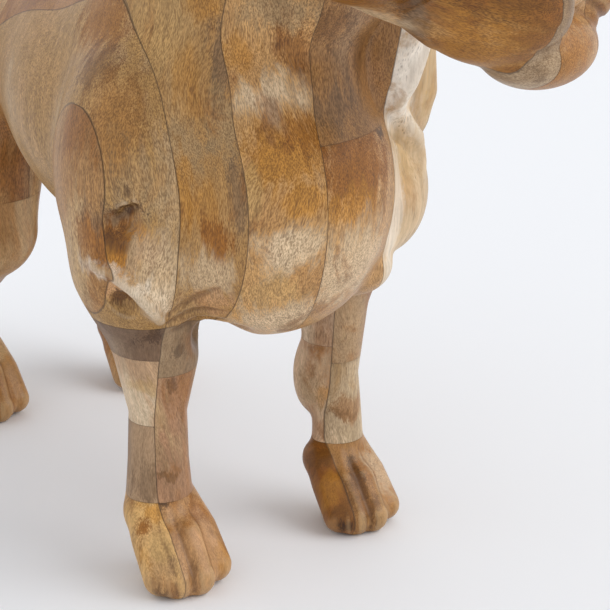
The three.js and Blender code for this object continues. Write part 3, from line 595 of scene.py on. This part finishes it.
class Shader:
    """Builds one material's nodes: an input is a number, a colour, or the output of another node."""

    def __init__(self, name):
        self.material = bpy.data.materials.new(name)
        self.material.use_nodes = True
        self.tree = self.material.node_tree
        self.surface = self.tree.nodes["Principled BSDF"]

    def put(self, kind, inputs, output=0, **settings):
        node = self.tree.nodes.new(kind)
        for key, value in settings.items():
            setattr(node, key, value)
        for key, value in inputs.items():
            self.feed(node.inputs[key], value)
        return node.outputs[output]

    def feed(self, socket, value):
        if isinstance(value, bpy.types.NodeSocket):
            self.tree.links.new(value, socket)
        else:
            socket.default_value = value

    def math(self, operation, a, b):
        return self.put("ShaderNodeMath", {0: a, 1: b}, operation=operation)

    def vector(self, operation, a, b):
        return self.put("ShaderNodeVectorMath", {0: a, 1: b}, operation=operation)

    def mix(self, share, a, b, blend_type="MIX"):
        return self.put("ShaderNodeMix", {0: share, 6: a, 7: b}, 2, data_type="RGBA", blend_type=blend_type)

    def fade(self, value, low, high, start=0.0, end=1.0):
        inputs = {"Value": value, "From Min": low, "From Max": high, "To Min": start, "To Max": end}
        return self.put("ShaderNodeMapRange", inputs, interpolation_type="SMOOTHSTEP")

    def noise(self, place, scale, detail=2.0, roughness=0.5, distortion=0.0, output="Fac"):
        inputs = {"Vector": place, "Scale": scale, "Detail": detail, "Roughness": roughness,
                  "Distortion": distortion}
        return self.put("ShaderNodeTexNoise", inputs, output)

    def attribute(self, label):
        return self.put("ShaderNodeAttribute", {}, "Fac", attribute_name=label)

    def wander(self, place, pattern, scale, reach, detail=3.0):
        """The place, shifted to and fro by a noise over the pattern's own coordinates."""
        sway = self.noise(pattern, scale, detail, 0.6, output="Color")
        sway = self.vector("SUBTRACT", sway, (0.5, 0.5, 0.5))
        return self.vector("ADD", place, self.vector("MULTIPLY", sway, reach))


# Tones: the wood's own colour, its darker heartwood, its pale sapwood
WOODS = {
    "honey": ("a98050", "8a5a24", "c9ab80"),
    "amber": ("a0703a", "7c4a16", "c09a6c"),
    "cream": ("c9ab84", "ae8756", "dcc9ae"),
    "grey": ("967d60", "725638", "b8a083"),
    "dark": ("7a604a", "573d26", "a08970"),
}
# Boards whose own colour differs from the rest of their wood
OWN_TONES = {
    "right_shoulder_board": "a6824f",
    "right_chest_board": "a47e4c",
    "mid_right_chest_board": "bd9460",
    "mid_left_neck_board": "a27848",
    "mid_left_chest_board": "b68f60",
    "left_chest_board": "ccb391",
    "left_shoulder_facing": "ccb391",
    "fore_right_forearm_strip": "bb9b7b",
    "fore_right_wrist_strip": "a98c6e",
    "fore_right_wrist_block": "a67f60",
    "fore_left_elbow_strip": "b0947a",
    "fore_left_wrist_strip": "d2b496",
    "fore_left_elbow_block": "a88c6b",
    "fore_left_wrist_block": "9e7c52",
    "fore_right_paw_right_half": "cfa76c",
    "fore_right_paw_left_half": "ae8457",
    "fore_left_paw_right_half": "87571f",
    "fore_left_paw_left_half": "9f7646",
    "right_cheek_board": "855722",
}
# How strongly the short dark flecks of the grain show, on pale boards and elsewhere
FLECKS = {"left_chest_board": 0.15, "left_shoulder_facing": 0.15}
TRUNK_FLECK, LEG_FLECK, HEAD_FLECK = 1.0, 0.5, 0.9
TINTS = {
    "knot": "3c220c",
    "umber": "6d4410",
    "rust": "955d14",
    "gold": "b8812e",
    "straw": "c5a26a",
    # the pale tint of painted light: a highlight along a ridge, a lit side, a sheen
    "painted_light": "f4ece1",
    "sap": "d6c0a2",
    "ash": "a08866",
    "mauve": "7c6248",
    "peach": "ca9c70",
}
# Marks of heartwood, sapwood and knots, and some of painted light and painted shade: place, half-widths
# (millimetres), tint, strength.
# Places are the carving's, and on the head the head's own.
MARKS = {
    "right_shoulder_facing": (
        ((-110, -140, 230), (14, 22, 16), "rust", 0.8),
        # painted shade, with some dark stain, in the shoulder's dimple
        ((-110, -143, 244), (10, 16, 9), "mauve", 0.6),
        # painted highlight along the crest over the elbow
        ((-112, -137, 213), (12, 14, 5), "painted_light", 0.45),
    ),
    "right_shoulder_board": (
        ((-78, -94, 350), (30, 30, 26), "rust", 0.7),
        ((-94, -113, 326), (16, 20, 16), "umber", 0.6),
        ((-101, -144, 300), (20, 24, 40), "rust", 0.45),
        ((-92, -156, 262), (16, 20, 24), "ash", 0.6),
        # painted shade, with some dark stain, in the dimple, its crease and the nick over it
        ((-99, -148, 243), (13, 13, 8), "mauve", 0.8),
        ((-96, -150, 248), (6, 6, 2.5), "knot", 0.9),
        ((-91, -157, 252), (5, 6, 2.5), "knot", 0.8),
        ((-97, -155, 261), (3, 5, 6), "knot", 0.6),
        ((-99, -151, 228), (24, 20, 16), "rust", 1.0),
        ((-102, -149, 231), (14, 13, 9), "umber", 0.9),
        ((-104, -147, 218), (18, 16, 10), "gold", 0.7),
        ((-91, -158, 236), (9, 9, 8), "gold", 0.5),
        ((-84, -164, 215), (16, 14, 26), "sap", 0.6),
        ((-86, -162, 198), (18, 10, 12), "sap", 0.8),
        ((-105, -148, 203), (12, 10, 8), "peach", 0.8),
        ((-98, -149, 196), (7, 9, 6), "umber", 0.9),
        # painted highlight along the crest over the elbow
        ((-107, -148, 213), (12, 10, 5), "painted_light", 0.4),
        ((-98, -158, 206), (12, 9, 7), "painted_light", 0.4),
        ((-86, -162, 192), (14, 9, 12), "painted_light", 0.15),
    ),
    "right_chest_board": (
        ((-70, -137, 349), (20, 30, 26), "straw", 0.45),
        ((-53, -171, 366), (9, 14, 14), "gold", 0.6),
        ((-46, -178, 342), (5, 14, 28), "mauve", 0.75),
        ((-48, -183, 298), (8, 14, 26), "ash", 0.6),
        ((-60, -161, 315), (7, 14, 26), "gold", 0.5),
        ((-68, -168, 288), (12, 16, 14), "ash", 0.5),
        ((-72, -174, 262), (5, 12, 26), "gold", 0.6),
        ((-49, -199, 262), (5, 10, 22), "mauve", 0.7),
        ((-64, -186, 252), (11, 14, 18), "gold", 0.6),
        ((-59, -192, 236), (10, 12, 13), "rust", 0.9),
        ((-60, -185, 214), (20, 16, 14), "sap", 0.55),
        ((-56, -178, 193), (16, 14, 10), "peach", 0.6),
    ),
    "mid_right_chest_board": (
        ((-24, -196, 366), (28, 20, 15), "ash", 0.7),
        ((-8, -196, 342), (14, 16, 14), "rust", 0.7),
        ((-36, -181, 341), (9, 14, 12), "gold", 0.6),
        ((-20, -187, 316), (25, 18, 13), "sap", 0.9),
        ((-20, -203, 286), (26, 18, 18), "gold", 0.85),
        ((-10, -204, 294), (10, 12, 10), "rust", 0.6),
        ((-42, -202, 268), (5, 10, 20), "straw", 0.6),
        ((-16, -214, 260), (18, 14, 11), "gold", 0.8),
        ((-24, -212, 228), (26, 16, 16), "sap", 0.85),
        ((-27, -201, 202), (20, 14, 10), "straw", 0.4),
        ((-12, -190, 178), (38, 22, 18), "sap", 0.8),
    ),
    "mid_left_neck_board": (
        ((11, -205, 355), (14, 16, 16), "umber", 0.5),
        ((38, -188, 337), (10, 14, 16), "umber", 0.4),
        ((51, -179, 313), (12, 14, 16), "peach", 0.3),
        ((14, -195, 305), (16, 14, 12), "mauve", 0.6),
    ),
    "mid_left_chest_board": (
        ((12, -203, 291), (20, 16, 10), "umber", 0.8),
        ((49, -191, 286), (6, 8, 6), "knot", 0.8),
        ((24, -208, 272), (40, 22, 26), "rust", 0.9),
        ((16, -215, 250), (32, 16, 12), "gold", 0.7),
        ((22, -205, 210), (34, 18, 30), "sap", 0.75),
    ),
    "left_chest_board": (
        # painted light: the lit white of the front fold
        ((76, -182, 320), (24, 26, 48), "painted_light", 1.0),
        ((76, -175, 257), (12, 14, 26), "straw", 0.6),
        ((78, -178, 238), (12, 14, 14), "peach", 0.3),
        # painted light: a pale sheen down the front of the chest
        ((68, -184, 226), (9, 16, 44), "painted_light", 0.55),
        ((99, -168, 305), (11, 18, 26), "straw", 0.75),
    ),
    "fore_right_elbow_strip": (((-79, -147, 167), (9, 9, 8), "knot", 0.7),),
    "fore_right_elbow_block": (
        ((-63, -146, 154), (5, 6, 5), "knot", 0.5),
        ((-52, -141, 158), (8, 12, 16), "rust", 0.4),
    ),
    "fore_right_forearm_strip": (((-79, -135, 132), (10, 10, 5), "straw", 0.5),),
    "fore_right_wrist_block": (
        ((-65, -142, 130), (4, 6, 5), "knot", 0.6),
        ((-54, -141, 132), (8, 12, 18), "rust", 0.5),
        ((-67, -139, 72), (8, 8, 3), "umber", 0.7),
        ((-62, -139, 82), (14, 12, 20), "mauve", 0.35),
    ),
    "fore_right_wrist_strip": (((-79, -132, 66), (10, 10, 10), "mauve", 0.5),),
    "fore_right_paw_right_half": (
        ((-76, -138, 51), (12, 10, 6), "gold", 0.7),
        ((-88, -143, 42), (7, 8, 10), "rust", 0.9),
        ((-92, -156, 27), (5, 10, 9), "gold", 0.7),
        ((-82, -154, 34), (8, 10, 10), "straw", 0.7),
        ((-86, -168, 5), (7, 8, 5), "knot", 0.6),
        ((-75, -168, 22), (6, 8, 12), "mauve", 0.5),
    ),
    "fore_right_paw_left_half": (
        ((-70, -139, 54), (3, 6, 10), "knot", 0.8),
        ((-46, -145, 46), (12, 12, 9), "rust", 0.7),
        ((-52, -160, 32), (9, 10, 9), "peach", 0.6),
        ((-70, -170, 18), (6, 8, 12), "umber", 0.45),
        ((-40, -160, 19), (8, 8, 9), "gold", 0.5),
    ),
    "fore_left_elbow_strip": (((56, -115, 130), (10, 10, 14), "rust", 0.3),),
    "fore_left_wrist_strip": (
        ((52, -106, 100), (20, 26, 28), "sap", 0.5),
        ((59, -113, 90), (6, 8, 8), "gold", 0.55),
        ((53, -104, 92), (7, 8, 18), "ash", 0.6),
        ((59, -112, 64), (12, 10, 8), "rust", 0.4),
    ),
    "fore_left_wrist_block": (
        ((76, -114, 84), (30, 30, 40), "ash", 0.6),
        ((78, -118, 80), (14, 12, 8), "rust", 0.55),
        ((70, -118, 77), (10, 9, 4), "umber", 0.45),
    ),
    "fore_left_paw_right_half": (
        ((55, -117, 46), (10, 12, 8), "umber", 0.8),
        ((54, -132, 31), (9, 10, 12), "gold", 0.5),
        ((56, -145, 18), (8, 10, 12), "umber", 0.7),
        ((57, -150, 8), (6, 8, 7), "knot", 0.9),
    ),
    "fore_left_paw_left_half": (
        ((72, -130, 38), (4, 10, 9), "knot", 0.6),
        ((75, -139, 31), (4, 8, 9), "knot", 0.6),
        ((70, -144, 24), (12, 14, 20), "umber", 0.75),
        ((95, -128, 28), (12, 18, 22), "sap", 0.5),
    ),
    "right_cheek_board": (
        ((-64, -42, -50), (24, 9, 26), "mauve", 0.95),
        ((-64, -76, -50), (30, 28, 30), "gold", 0.5),
        ((-58, -8, -54), (20, 30, 6), "sap", 0.6),
        ((-62, -86, -22), (26, 34, 13), "umber", 0.6),
    ),
}
GLUE = tone("4a3a2b")
PORE = tone("5f4023")
CREASE_STAIN_AND_SHADE = tone("5a3818")  # stain in the carved creases, with painted shade there too
# how strongly the creases' stain and painted shade show, on most boards and on pale ones
CREASE_STAIN_AND_SHADE_STRENGTH, PALE_CREASE_STAIN_AND_SHADE_STRENGTH = 0.42, 0.15
CREASE_STAIN_AND_SHADE_SPAN, RIDGE_HIGHLIGHT_SPAN = (0.05, 0.26), (-0.09, -0.24)  # 1/mm over which the creases' stain and painted shade, and the ridges' painted highlight, set in
# the third strength here is that of the painted highlight on the ridges
BLOTCH_STRENGTH, PORE_STRENGTH, RIDGE_HIGHLIGHT_STRENGTH, GLUE_STRENGTH = 0.6, 0.45, 0.35, 0.55
GLUE_EDGE = 0.45  # millimetres from a glue line's middle to where its colour has run out
# How strongly heartwood and sapwood show, on most boards and on those whose marks stand for them
FIGURE_STRENGTH, MARKED_FIGURE_STRENGTH = 0.85, 0.3
MANY_MARKS = 4
MARK_OUTSIDE, MARK_INSIDE = 1.35, 0.55  # half-widths at which a mark has run out, and is at full strength
NOISE_STEP = Vector((0.37, 0.61, 0.23))  # metres from one board's place in the noises to the next one's


class Grain:
    """A board's places and main noises, scaled per metre. Grain runs up the body and along the head."""

    def __init__(self, s, seed, on_head):
        self.s, self.on_head = s, on_head
        self.place = s.put("ShaderNodeTexCoord", {}, "Object")
        if on_head:
            head_at = to_row(head_frame.translation)
            turned = {"Vector": self.place, "Location": head_at, "Rotation": head_frame.to_euler()}
            self.place = s.put("ShaderNodeMapping", turned, vector_type="TEXTURE")
        own_place = s.vector("ADD", self.place, NOISE_STEP * seed)
        self.lean = s.wander(own_place, own_place, 12, self.stretched(0, 0.03), 0)
        self.figure = self.drawn_out(0.5)
        self.fibre = self.drawn_out(0.1)
        self.streak = s.noise(self.fibre, 150, 5, 0.6)
        self.fleck = s.noise(self.drawn_out(0.2), 1600, 2, 0.6)

    def stretched(self, length, across=1.0):
        """Factors along the three axes, with their own share along the grain."""
        return (across, across * length, across) if self.on_head else (across, across, across * length)

    def drawn_out(self, length):
        """Places whose noises are long along the grain."""
        return self.s.vector("MULTIPLY", self.lean, self.stretched(length))


def figured(s, grain, own, heart, sap, strength):
    """Broad heartwood and sapwood in the board's own colour."""
    broad = s.noise(grain.figure, 14, 3, 0.5, 0.4)
    uneven = s.math("ADD", broad, s.fade(grain.streak, 0.3, 0.7, -0.05, 0.05))
    colour = s.mix(s.fade(uneven, 0.5, 0.64, 0, strength), own, heart)
    return s.mix(s.fade(uneven, 0.47, 0.34, 0, strength), colour, sap)


def marked(s, grain, colour, marks):
    """The board's marks, whose ragged edges run out along the grain."""
    ragged = s.wander(grain.place, grain.drawn_out(0.35), 90, grain.stretched(2.5, 0.012))
    feather = s.math("ADD", grain.streak, s.math("MULTIPLY", grain.fleck, 0.5))
    feather = s.fade(feather, 0.45, 1.05, -0.5, 0.5)
    for at, half_widths, tint, strength in marks:
        spot = Vector(at) * MM if grain.on_head else to_row(at)
        away = s.vector("DIVIDE", s.vector("SUBTRACT", ragged, spot), Vector(half_widths) * MM)
        far = s.put("ShaderNodeVectorMath", {0: away}, "Value", operation="LENGTH")
        far = s.math("ADD", far, feather)
        colour = s.mix(s.fade(far, MARK_OUTSIDE, MARK_INSIDE, 0, strength), colour, tone(TINTS[tint]))
    return colour


def grained(s, grain, colour, fleck_strength):
    """Streaks, fine lines and short flecks, each from dark to light."""
    line = s.noise(grain.fibre, 480, 2, 0.5)
    fleck = s.fade(grain.fleck, 0.34, 0.64)
    for strength, value, dark, light in (
        (1.0, grain.streak, (0.58, 0.55, 0.50, 1), (1.40, 1.40, 1.39, 1)),
        (1.0, line, (0.72, 0.69, 0.65, 1), (1.27, 1.27, 1.27, 1)),
        (fleck_strength, fleck, (0.62, 0.57, 0.51, 1), (1.24, 1.24, 1.23, 1)),
    ):
        colour = s.mix(strength, colour, s.mix(value, dark, light), "MULTIPLY")
    return colour


def pores(s, grain):
    """Short open dashes, dense in some places and absent in others."""
    cells = {"Vector": grain.fibre, "Scale": 620.0, "Randomness": 1.0}
    dash = s.put("ShaderNodeTexVoronoi", cells, "Distance")
    dense = s.fade(s.noise(grain.figure, 60, 2), 0.42, 0.7)
    return s.math("MULTIPLY", s.fade(dash, 0.32, 0.2), dense)


def stain_shade_highlight_and_glue(s, colour, sap, crease_stain_and_shade_strength):
    """Creases darkened by stain and painted shade, ridges lightened by a painted highlight, and glue lines,
    from what the mesh holds at each point.
    """
    hollow, seam = s.attribute("hollow"), s.attribute("seam")
    # stain and painted shade in the creases
    colour = s.mix(s.fade(hollow, *CREASE_STAIN_AND_SHADE_SPAN, 0, crease_stain_and_shade_strength), colour, CREASE_STAIN_AND_SHADE)
    # a painted highlight on the ridges, in the sapwood's colour
    colour = s.mix(s.fade(hollow, *RIDGE_HIGHLIGHT_SPAN, 0, RIDGE_HIGHLIGHT_STRENGTH), colour, sap)
    return s.mix(s.fade(seam, GLUE_EDGE, HALF_GLUE, 0, GLUE_STRENGTH), colour, GLUE)


def wood(name, slot, seed, on_head=False):
    """One board's wood under a satin lacquer."""
    own, heart, sap = (tone(code) for code in WOODS[slot])
    if name in OWN_TONES:
        own = tone(OWN_TONES[name])
    marks = MARKS.get(name, ())
    much_marked = name in TRUNK_BOARDS and len(marks) >= MANY_MARKS
    usual_fleck = HEAD_FLECK if on_head else TRUNK_FLECK if name in TRUNK_BOARDS else LEG_FLECK

    s = Shader(name)
    grain = Grain(s, seed, on_head)
    colour = figured(s, grain, own, heart, sap, MARKED_FIGURE_STRENGTH if much_marked else FIGURE_STRENGTH)
    colour = marked(s, grain, colour, marks)
    blotch = s.noise(grain.figure, 42, 5, 0.65, 0.5)
    colour = s.mix(s.fade(blotch, 0.54, 0.68, 0, BLOTCH_STRENGTH), colour, heart)
    colour = grained(s, grain, colour, FLECKS.get(name, usual_fleck))
    pore = pores(s, grain)
    colour = s.mix(s.math("MULTIPLY", pore, PORE_STRENGTH), colour, PORE)
    # stain and painted shade in creases, a painted highlight on ridges, and the glue lines
    colour = stain_shade_highlight_and_glue(s, colour, sap, PALE_CREASE_STAIN_AND_SHADE_STRENGTH if name in FLECKS else CREASE_STAIN_AND_SHADE_STRENGTH)
    height = s.math("SUBTRACT", s.math("MULTIPLY", grain.streak, 0.4), pore)
    for socket, value in (
        ("Base Color", colour),
        ("Roughness", s.fade(grain.streak, 0.2, 0.8, 0.5, 0.38)),
        ("Specular IOR Level", 0.28),
        ("Coat Weight", 0.15),
        ("Coat Roughness", 0.22),
        ("Normal", s.put("ShaderNodeBump", {"Height": height, "Strength": 0.25, "Distance": 0.0004})),
    ):
        s.feed(s.surface.inputs[socket], value)
    return s.material


def beech():
    """Plain turned wood for the dowels."""
    s = Shader("beech")
    place = s.put("ShaderNodeTexCoord", {}, "Object")
    fleck = s.noise(s.vector("MULTIPLY", place, (1, 1, 0.1)), 500, 4, 0.6)
    s.feed(s.surface.inputs["Base Color"], s.mix(fleck, tone("c8a678"), tone("e3cba4")))
    s.feed(s.surface.inputs["Roughness"], s.fade(fleck, 0.2, 0.8, 0.7, 0.55))
    return s.material


# Boards

RIGHT_NOTCH, LEFT_NOTCH = -34, 42  # the inner sides of the fore legs, under the breast
BRISKET = 120  # clear below the breast
NECK_FOOT = TRUNK + 13  # under the neck board
RIGHT_FACING = ((None, RIGHT_CAP_SEAM), (None, WAIST_Y / 2), (FORE_JOINT, TRUNK + 30))
LEFT_FACING = ((LEFT_CAP_SEAM, None), (None, WAIST_Y / 2), (FORE_JOINT, TRUNK + 8))
# Each board's wood and its (low, high) glue lines across, along and up the dog; None is an open side
TRUNK_BOARDS = {
    "right_shoulder_facing": ("honey", *RIGHT_FACING),
    "right_shoulder_board": ("cream", (None, RIGHT_SEAM), (None, WAIST_Y), (FORE_JOINT, None)),
    "right_haunch_board": ("amber", (None, RIGHT_SEAM), (WAIST_Y, None), (HIND_JOINT, None)),
    "right_chest_board": ("honey", (RIGHT_SEAM, INNER_RIGHT_SEAM), (None, -66), (FORE_JOINT, None)),
    "right_rib_board": ("amber", (RIGHT_SEAM, INNER_RIGHT_SEAM), (-66, 84), (None, None)),
    "right_rump_board": ("honey", (RIGHT_SEAM, INNER_RIGHT_SEAM), (84, None), (HIND_JOINT, None)),
    "mid_right_chest_board": ("amber", (INNER_RIGHT_SEAM, MIDDLE), (None, -92), (BRISKET, None)),
    "mid_right_rib_board": ("cream", (INNER_RIGHT_SEAM, MIDDLE), (-92, RIB_SEAM_Y), (None, None)),
    "mid_right_loin_board": ("honey", (INNER_RIGHT_SEAM, MIDDLE), (RIB_SEAM_Y, 140), (HIND_JOINT, None)),
    "mid_right_rump_board": ("grey", (INNER_RIGHT_SEAM, MIDDLE), (140, None), (HIND_JOINT, None)),
    "mid_left_chest_board": ("honey", (MIDDLE, LEFT_SEAM), (None, -78), (BRISKET, NECK_FOOT)),
    "mid_left_neck_board": ("grey", (MIDDLE, LEFT_SEAM), (None, -78), (NECK_FOOT, None)),
    "mid_left_rib_board": ("amber", (MIDDLE, LEFT_SEAM), (-78, 48), (None, None)),
    "mid_left_loin_board": ("cream", (MIDDLE, LEFT_SEAM), (48, 156), (HIND_JOINT, None)),
    "mid_left_rump_board": ("honey", (MIDDLE, LEFT_SEAM), (156, None), (HIND_JOINT, None)),
    "left_chest_board": ("cream", (LEFT_SEAM, None), (None, -58), (FORE_JOINT, None)),
    "left_rib_board": ("honey", (LEFT_SEAM, None), (-58, 92), (None, None)),
    "left_rump_board": ("amber", (LEFT_SEAM, None), (92, None), (HIND_JOINT, None)),
    "left_shoulder_facing": ("cream", *LEFT_FACING),
}
# The same for the head, across and along its own frame
HEAD_BOARDS = {
    "right_cheek_board": ("amber", (None, -CHEEK_SEAM), (None, None)),
    "right_head_strip": ("grey", (-CHEEK_SEAM, STRIP_SEAM), (None, None)),
    "right_muzzle_block": ("amber", (STRIP_SEAM, BRIDGE_SEAM), (None, -42)),
    "right_skull_block": ("honey", (STRIP_SEAM, BRIDGE_SEAM), (-42, None)),
    "left_muzzle_block": ("honey", (BRIDGE_SEAM, CHEEK_SEAM), (None, -48)),
    "left_skull_block": ("amber", (BRIDGE_SEAM, CHEEK_SEAM), (-48, None)),
    "left_cheek_board": ("cream", (CHEEK_SEAM, None), (None, None)),
}
FORE, HIND = (None, 30), (60, None)  # spans along the dog that hold a fore leg or a hind leg alone
LEG_SEAM = 10  # from the middle of a hind leg to its glue line
HIND_RIGHT_SEAM, HIND_LEFT_SEAM = -HIND_LEG[0] - LEG_SEAM, HIND_LEG[0] - LEG_SEAM
LEG_BLOCKS = {
    "fore_right_elbow_strip": ("dark", (None, RIGHT_SEAM), FORE, (150, FORE_JOINT)),
    "fore_right_forearm_strip": ("cream", (None, RIGHT_SEAM), FORE, (104, 150)),
    "fore_right_wrist_strip": ("grey", (None, RIGHT_SEAM), FORE, (ANKLE, 104)),
    "fore_right_elbow_block": ("grey", (RIGHT_SEAM, RIGHT_NOTCH), FORE, (138, FORE_JOINT)),
    "fore_right_wrist_block": ("honey", (RIGHT_SEAM, RIGHT_NOTCH), FORE, (ANKLE, 138)),
    "fore_left_elbow_strip": ("cream", (LEFT_NOTCH, LEFT_SEAM), FORE, (124, FORE_JOINT)),
    "fore_left_wrist_strip": ("honey", (LEFT_NOTCH, LEFT_SEAM), FORE, (ANKLE, 124)),
    "fore_left_elbow_block": ("honey", (LEFT_SEAM, None), FORE, (112, FORE_JOINT)),
    "fore_left_wrist_block": ("cream", (LEFT_SEAM, None), FORE, (ANKLE, 112)),
}
for side, outer, seam, inner in (
    ("right", None, HIND_RIGHT_SEAM, MIDDLE), ("left", MIDDLE, HIND_LEFT_SEAM, None),
):
    LEG_BLOCKS[f"hind_{side}_gaskin_block"] = ("honey", (seam, inner), HIND, (106, HIND_JOINT))
    LEG_BLOCKS[f"hind_{side}_gaskin_strip"] = ("amber", (outer, seam), HIND, (106, HIND_JOINT))
    LEG_BLOCKS[f"hind_{side}_hock_block"] = ("grey", (outer, inner), HIND, (ANKLE, 106))
for name, outer, seam, inner, span in (
    ("fore_right", None, RIGHT_SEAM, MIDDLE, FORE), ("fore_left", MIDDLE, LEFT_SEAM, None, FORE),
    ("hind_right", None, HIND_RIGHT_SEAM, MIDDLE, HIND), ("hind_left", MIDDLE, HIND_LEFT_SEAM, None, HIND),
):
    LEG_BLOCKS[f"{name}_paw_right_half"] = ("amber", (outer, seam), span, (None, ANKLE))
    LEG_BLOCKS[f"{name}_paw_left_half"] = ("honey", (seam, inner), span, (None, ANKLE))


def finish_piece(name, slot, field, body, lines, seed, on_head=False):
    """Turns sawn wood into a shaded piece that stands for the CAD node of its name."""
    mesh = bpy.data.meshes.new(name)
    body.to_mesh(mesh)
    places = np.empty(len(mesh.vertices) * 3, np.float32)
    mesh.vertices.foreach_get("co", places)
    places = places.reshape(-1, 3)
    mesh.polygons.foreach_set("use_smooth", np.ones(len(mesh.polygons), bool))
    carved = (places - np.array(SHIFT)) / MM
    mesh.normals_split_custom_set_from_vertices(field.normals(carved))
    if lines:
        seam = np.min([line.distance(places) for line in lines], axis=0)
    else:
        seam = carving.sample(carved)
    for label, values in (("seam", seam), ("hollow", field.hollow(carved))):
        mesh.attributes.new(label, "FLOAT", "POINT").data.foreach_set("value", values.astype(np.float32))
    mesh.materials.append(wood(name, slot, seed, on_head))
    piece = bpy.data.objects.new(name + "_carved", mesh)
    bpy.context.collection.objects.link(piece)
    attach(piece, "root")
    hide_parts(name)


def sawn(body, lines):
    """The body cut at each of the lines in turn."""
    for line in lines:
        body = line.saw(body)
    return body


carving = carve_dog()
skin = skin_mesh(carving)
trunk = BELOW_HEAD.saw(skin)
head = ABOVE_NECK.saw(skin)
legs = sawn(trunk, cuts(z=(None, HIND_JOINT)))
NOTCHES = {
    "mid_right_chest_board": Notch((None, RIGHT_NOTCH), (None, None), (None, FORE_JOINT)),
    "mid_left_chest_board": Notch((LEFT_NOTCH, None), (None, None), (None, FORE_JOINT)),
    "right_shoulder_board": Notch(*RIGHT_FACING),
    "left_chest_board": Notch(*LEFT_FACING),
    "left_rib_board": Notch(*LEFT_FACING),
}
staves = {}
seed = 0
for name, (slot, x, y, z) in (TRUNK_BOARDS | LEG_BLOCKS).items():
    seed += 1
    whole = legs if name in LEG_BLOCKS else trunk
    if (whole, x) not in staves:
        staves[whole, x] = sawn(whole, cuts(x=x))
    lines = cuts(y=y, z=z)
    if name in NOTCHES:
        lines.append(NOTCHES[name])
    body = sawn(staves[whole, x], lines)
    finish_piece(name, slot, carving, body, cuts(x=x) + lines + [BELOW_HEAD], seed)
for name, (slot, x, y) in HEAD_BOARDS.items():
    seed += 1
    lines = cuts(head_frame, x=x, y=y)
    finish_piece(name, slot, carving, sawn(head, lines), lines + [ABOVE_NECK], seed, True)
GLUED_ON = {"right_ear": ("amber", ear(-1)), "left_ear": ("amber", ear(1)), "tail": ("honey", tail())}
for name, (slot, forms) in GLUED_ON.items():
    seed += 1
    field = glued_on(*forms)
    finish_piece(name, slot, field, skin_mesh(field), [], seed, name != "tail")
for name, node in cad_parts.items():
    if name.endswith("_dowel"):
        node.data.materials.clear()
        node.data.materials.append(beech())

# Camera
EYE = Vector((-600, -1200, 614))
AIM = Vector((24, -150, 169))
FOCAL_PIXELS, IMAGE_PIXELS = 2118, 610
SENSOR_WIDTH = 36
camera = bpy.data.objects.new("camera", bpy.data.cameras.new("camera"))
camera.data.sensor_width = SENSOR_WIDTH
camera.data.lens = FOCAL_PIXELS * SENSOR_WIDTH / IMAGE_PIXELS
camera.location = to_row(EYE)
camera.rotation_euler = (to_row(AIM) - to_row(EYE)).to_track_quat("-Z", "Y").to_euler()
bpy.context.collection.objects.link(camera)
bpy.context.scene.camera = camera

# A tent of light, plain white where seen or mirrored, and a broad lamp from the front on the dog's left
TENT_LIGHT = 0.8
KEY_LIGHT, KEY_WIDTH = 1.25, 50  # strength, degrees
KEY_WAY = Vector((-1.9, 1.7, -2.0))  # the way its light falls
FLOOR_HALF = 6  # metres
PAPER = (0.86, 0.88, 0.92, 1)
world = bpy.data.worlds.new("studio")
world.use_nodes = True
nodes, links = world.node_tree.nodes, world.node_tree.links
tent = nodes["Background"]
tent.inputs["Color"].default_value = (1, 1, 1, 1)
rays = nodes.new("ShaderNodeLightPath")
seen = rays.outputs["Is Camera Ray"]
for kind in ("Is Glossy Ray", "Is Transmission Ray"):
    either = nodes.new("ShaderNodeMath")
    either.operation = "MAXIMUM"
    links.new(seen, either.inputs[0])
    links.new(rays.outputs[kind], either.inputs[1])
    seen = either.outputs[0]
strength = nodes.new("ShaderNodeMapRange")
strength.inputs["To Min"].default_value = TENT_LIGHT
links.new(seen, strength.inputs["Value"])
links.new(strength.outputs[0], tent.inputs["Strength"])
bpy.context.scene.world = world
bpy.context.scene.view_settings.view_transform = "Standard"
key = bpy.data.objects.new("key", bpy.data.lights.new("key", "SUN"))
key.data.angle = math.radians(KEY_WIDTH)
key.data.energy = KEY_LIGHT
key.rotation_euler = KEY_WAY.to_track_quat("-Z", "Y").to_euler()
bpy.context.collection.objects.link(key)

floor_mesh = bpy.data.meshes.new("floor")
corners = [(x * FLOOR_HALF, y * FLOOR_HALF, 0) for x, y in ((-1, -1), (1, -1), (1, 1), (-1, 1))]
floor_mesh.from_pydata(corners, [], [range(4)])
paper = Shader("paper")
paper.feed(paper.surface.inputs["Base Color"], PAPER)
paper.feed(paper.surface.inputs["Roughness"], 0.7)
floor_mesh.materials.append(paper.material)
floor = bpy.data.objects.new("floor", floor_mesh)
bpy.context.collection.objects.link(floor)
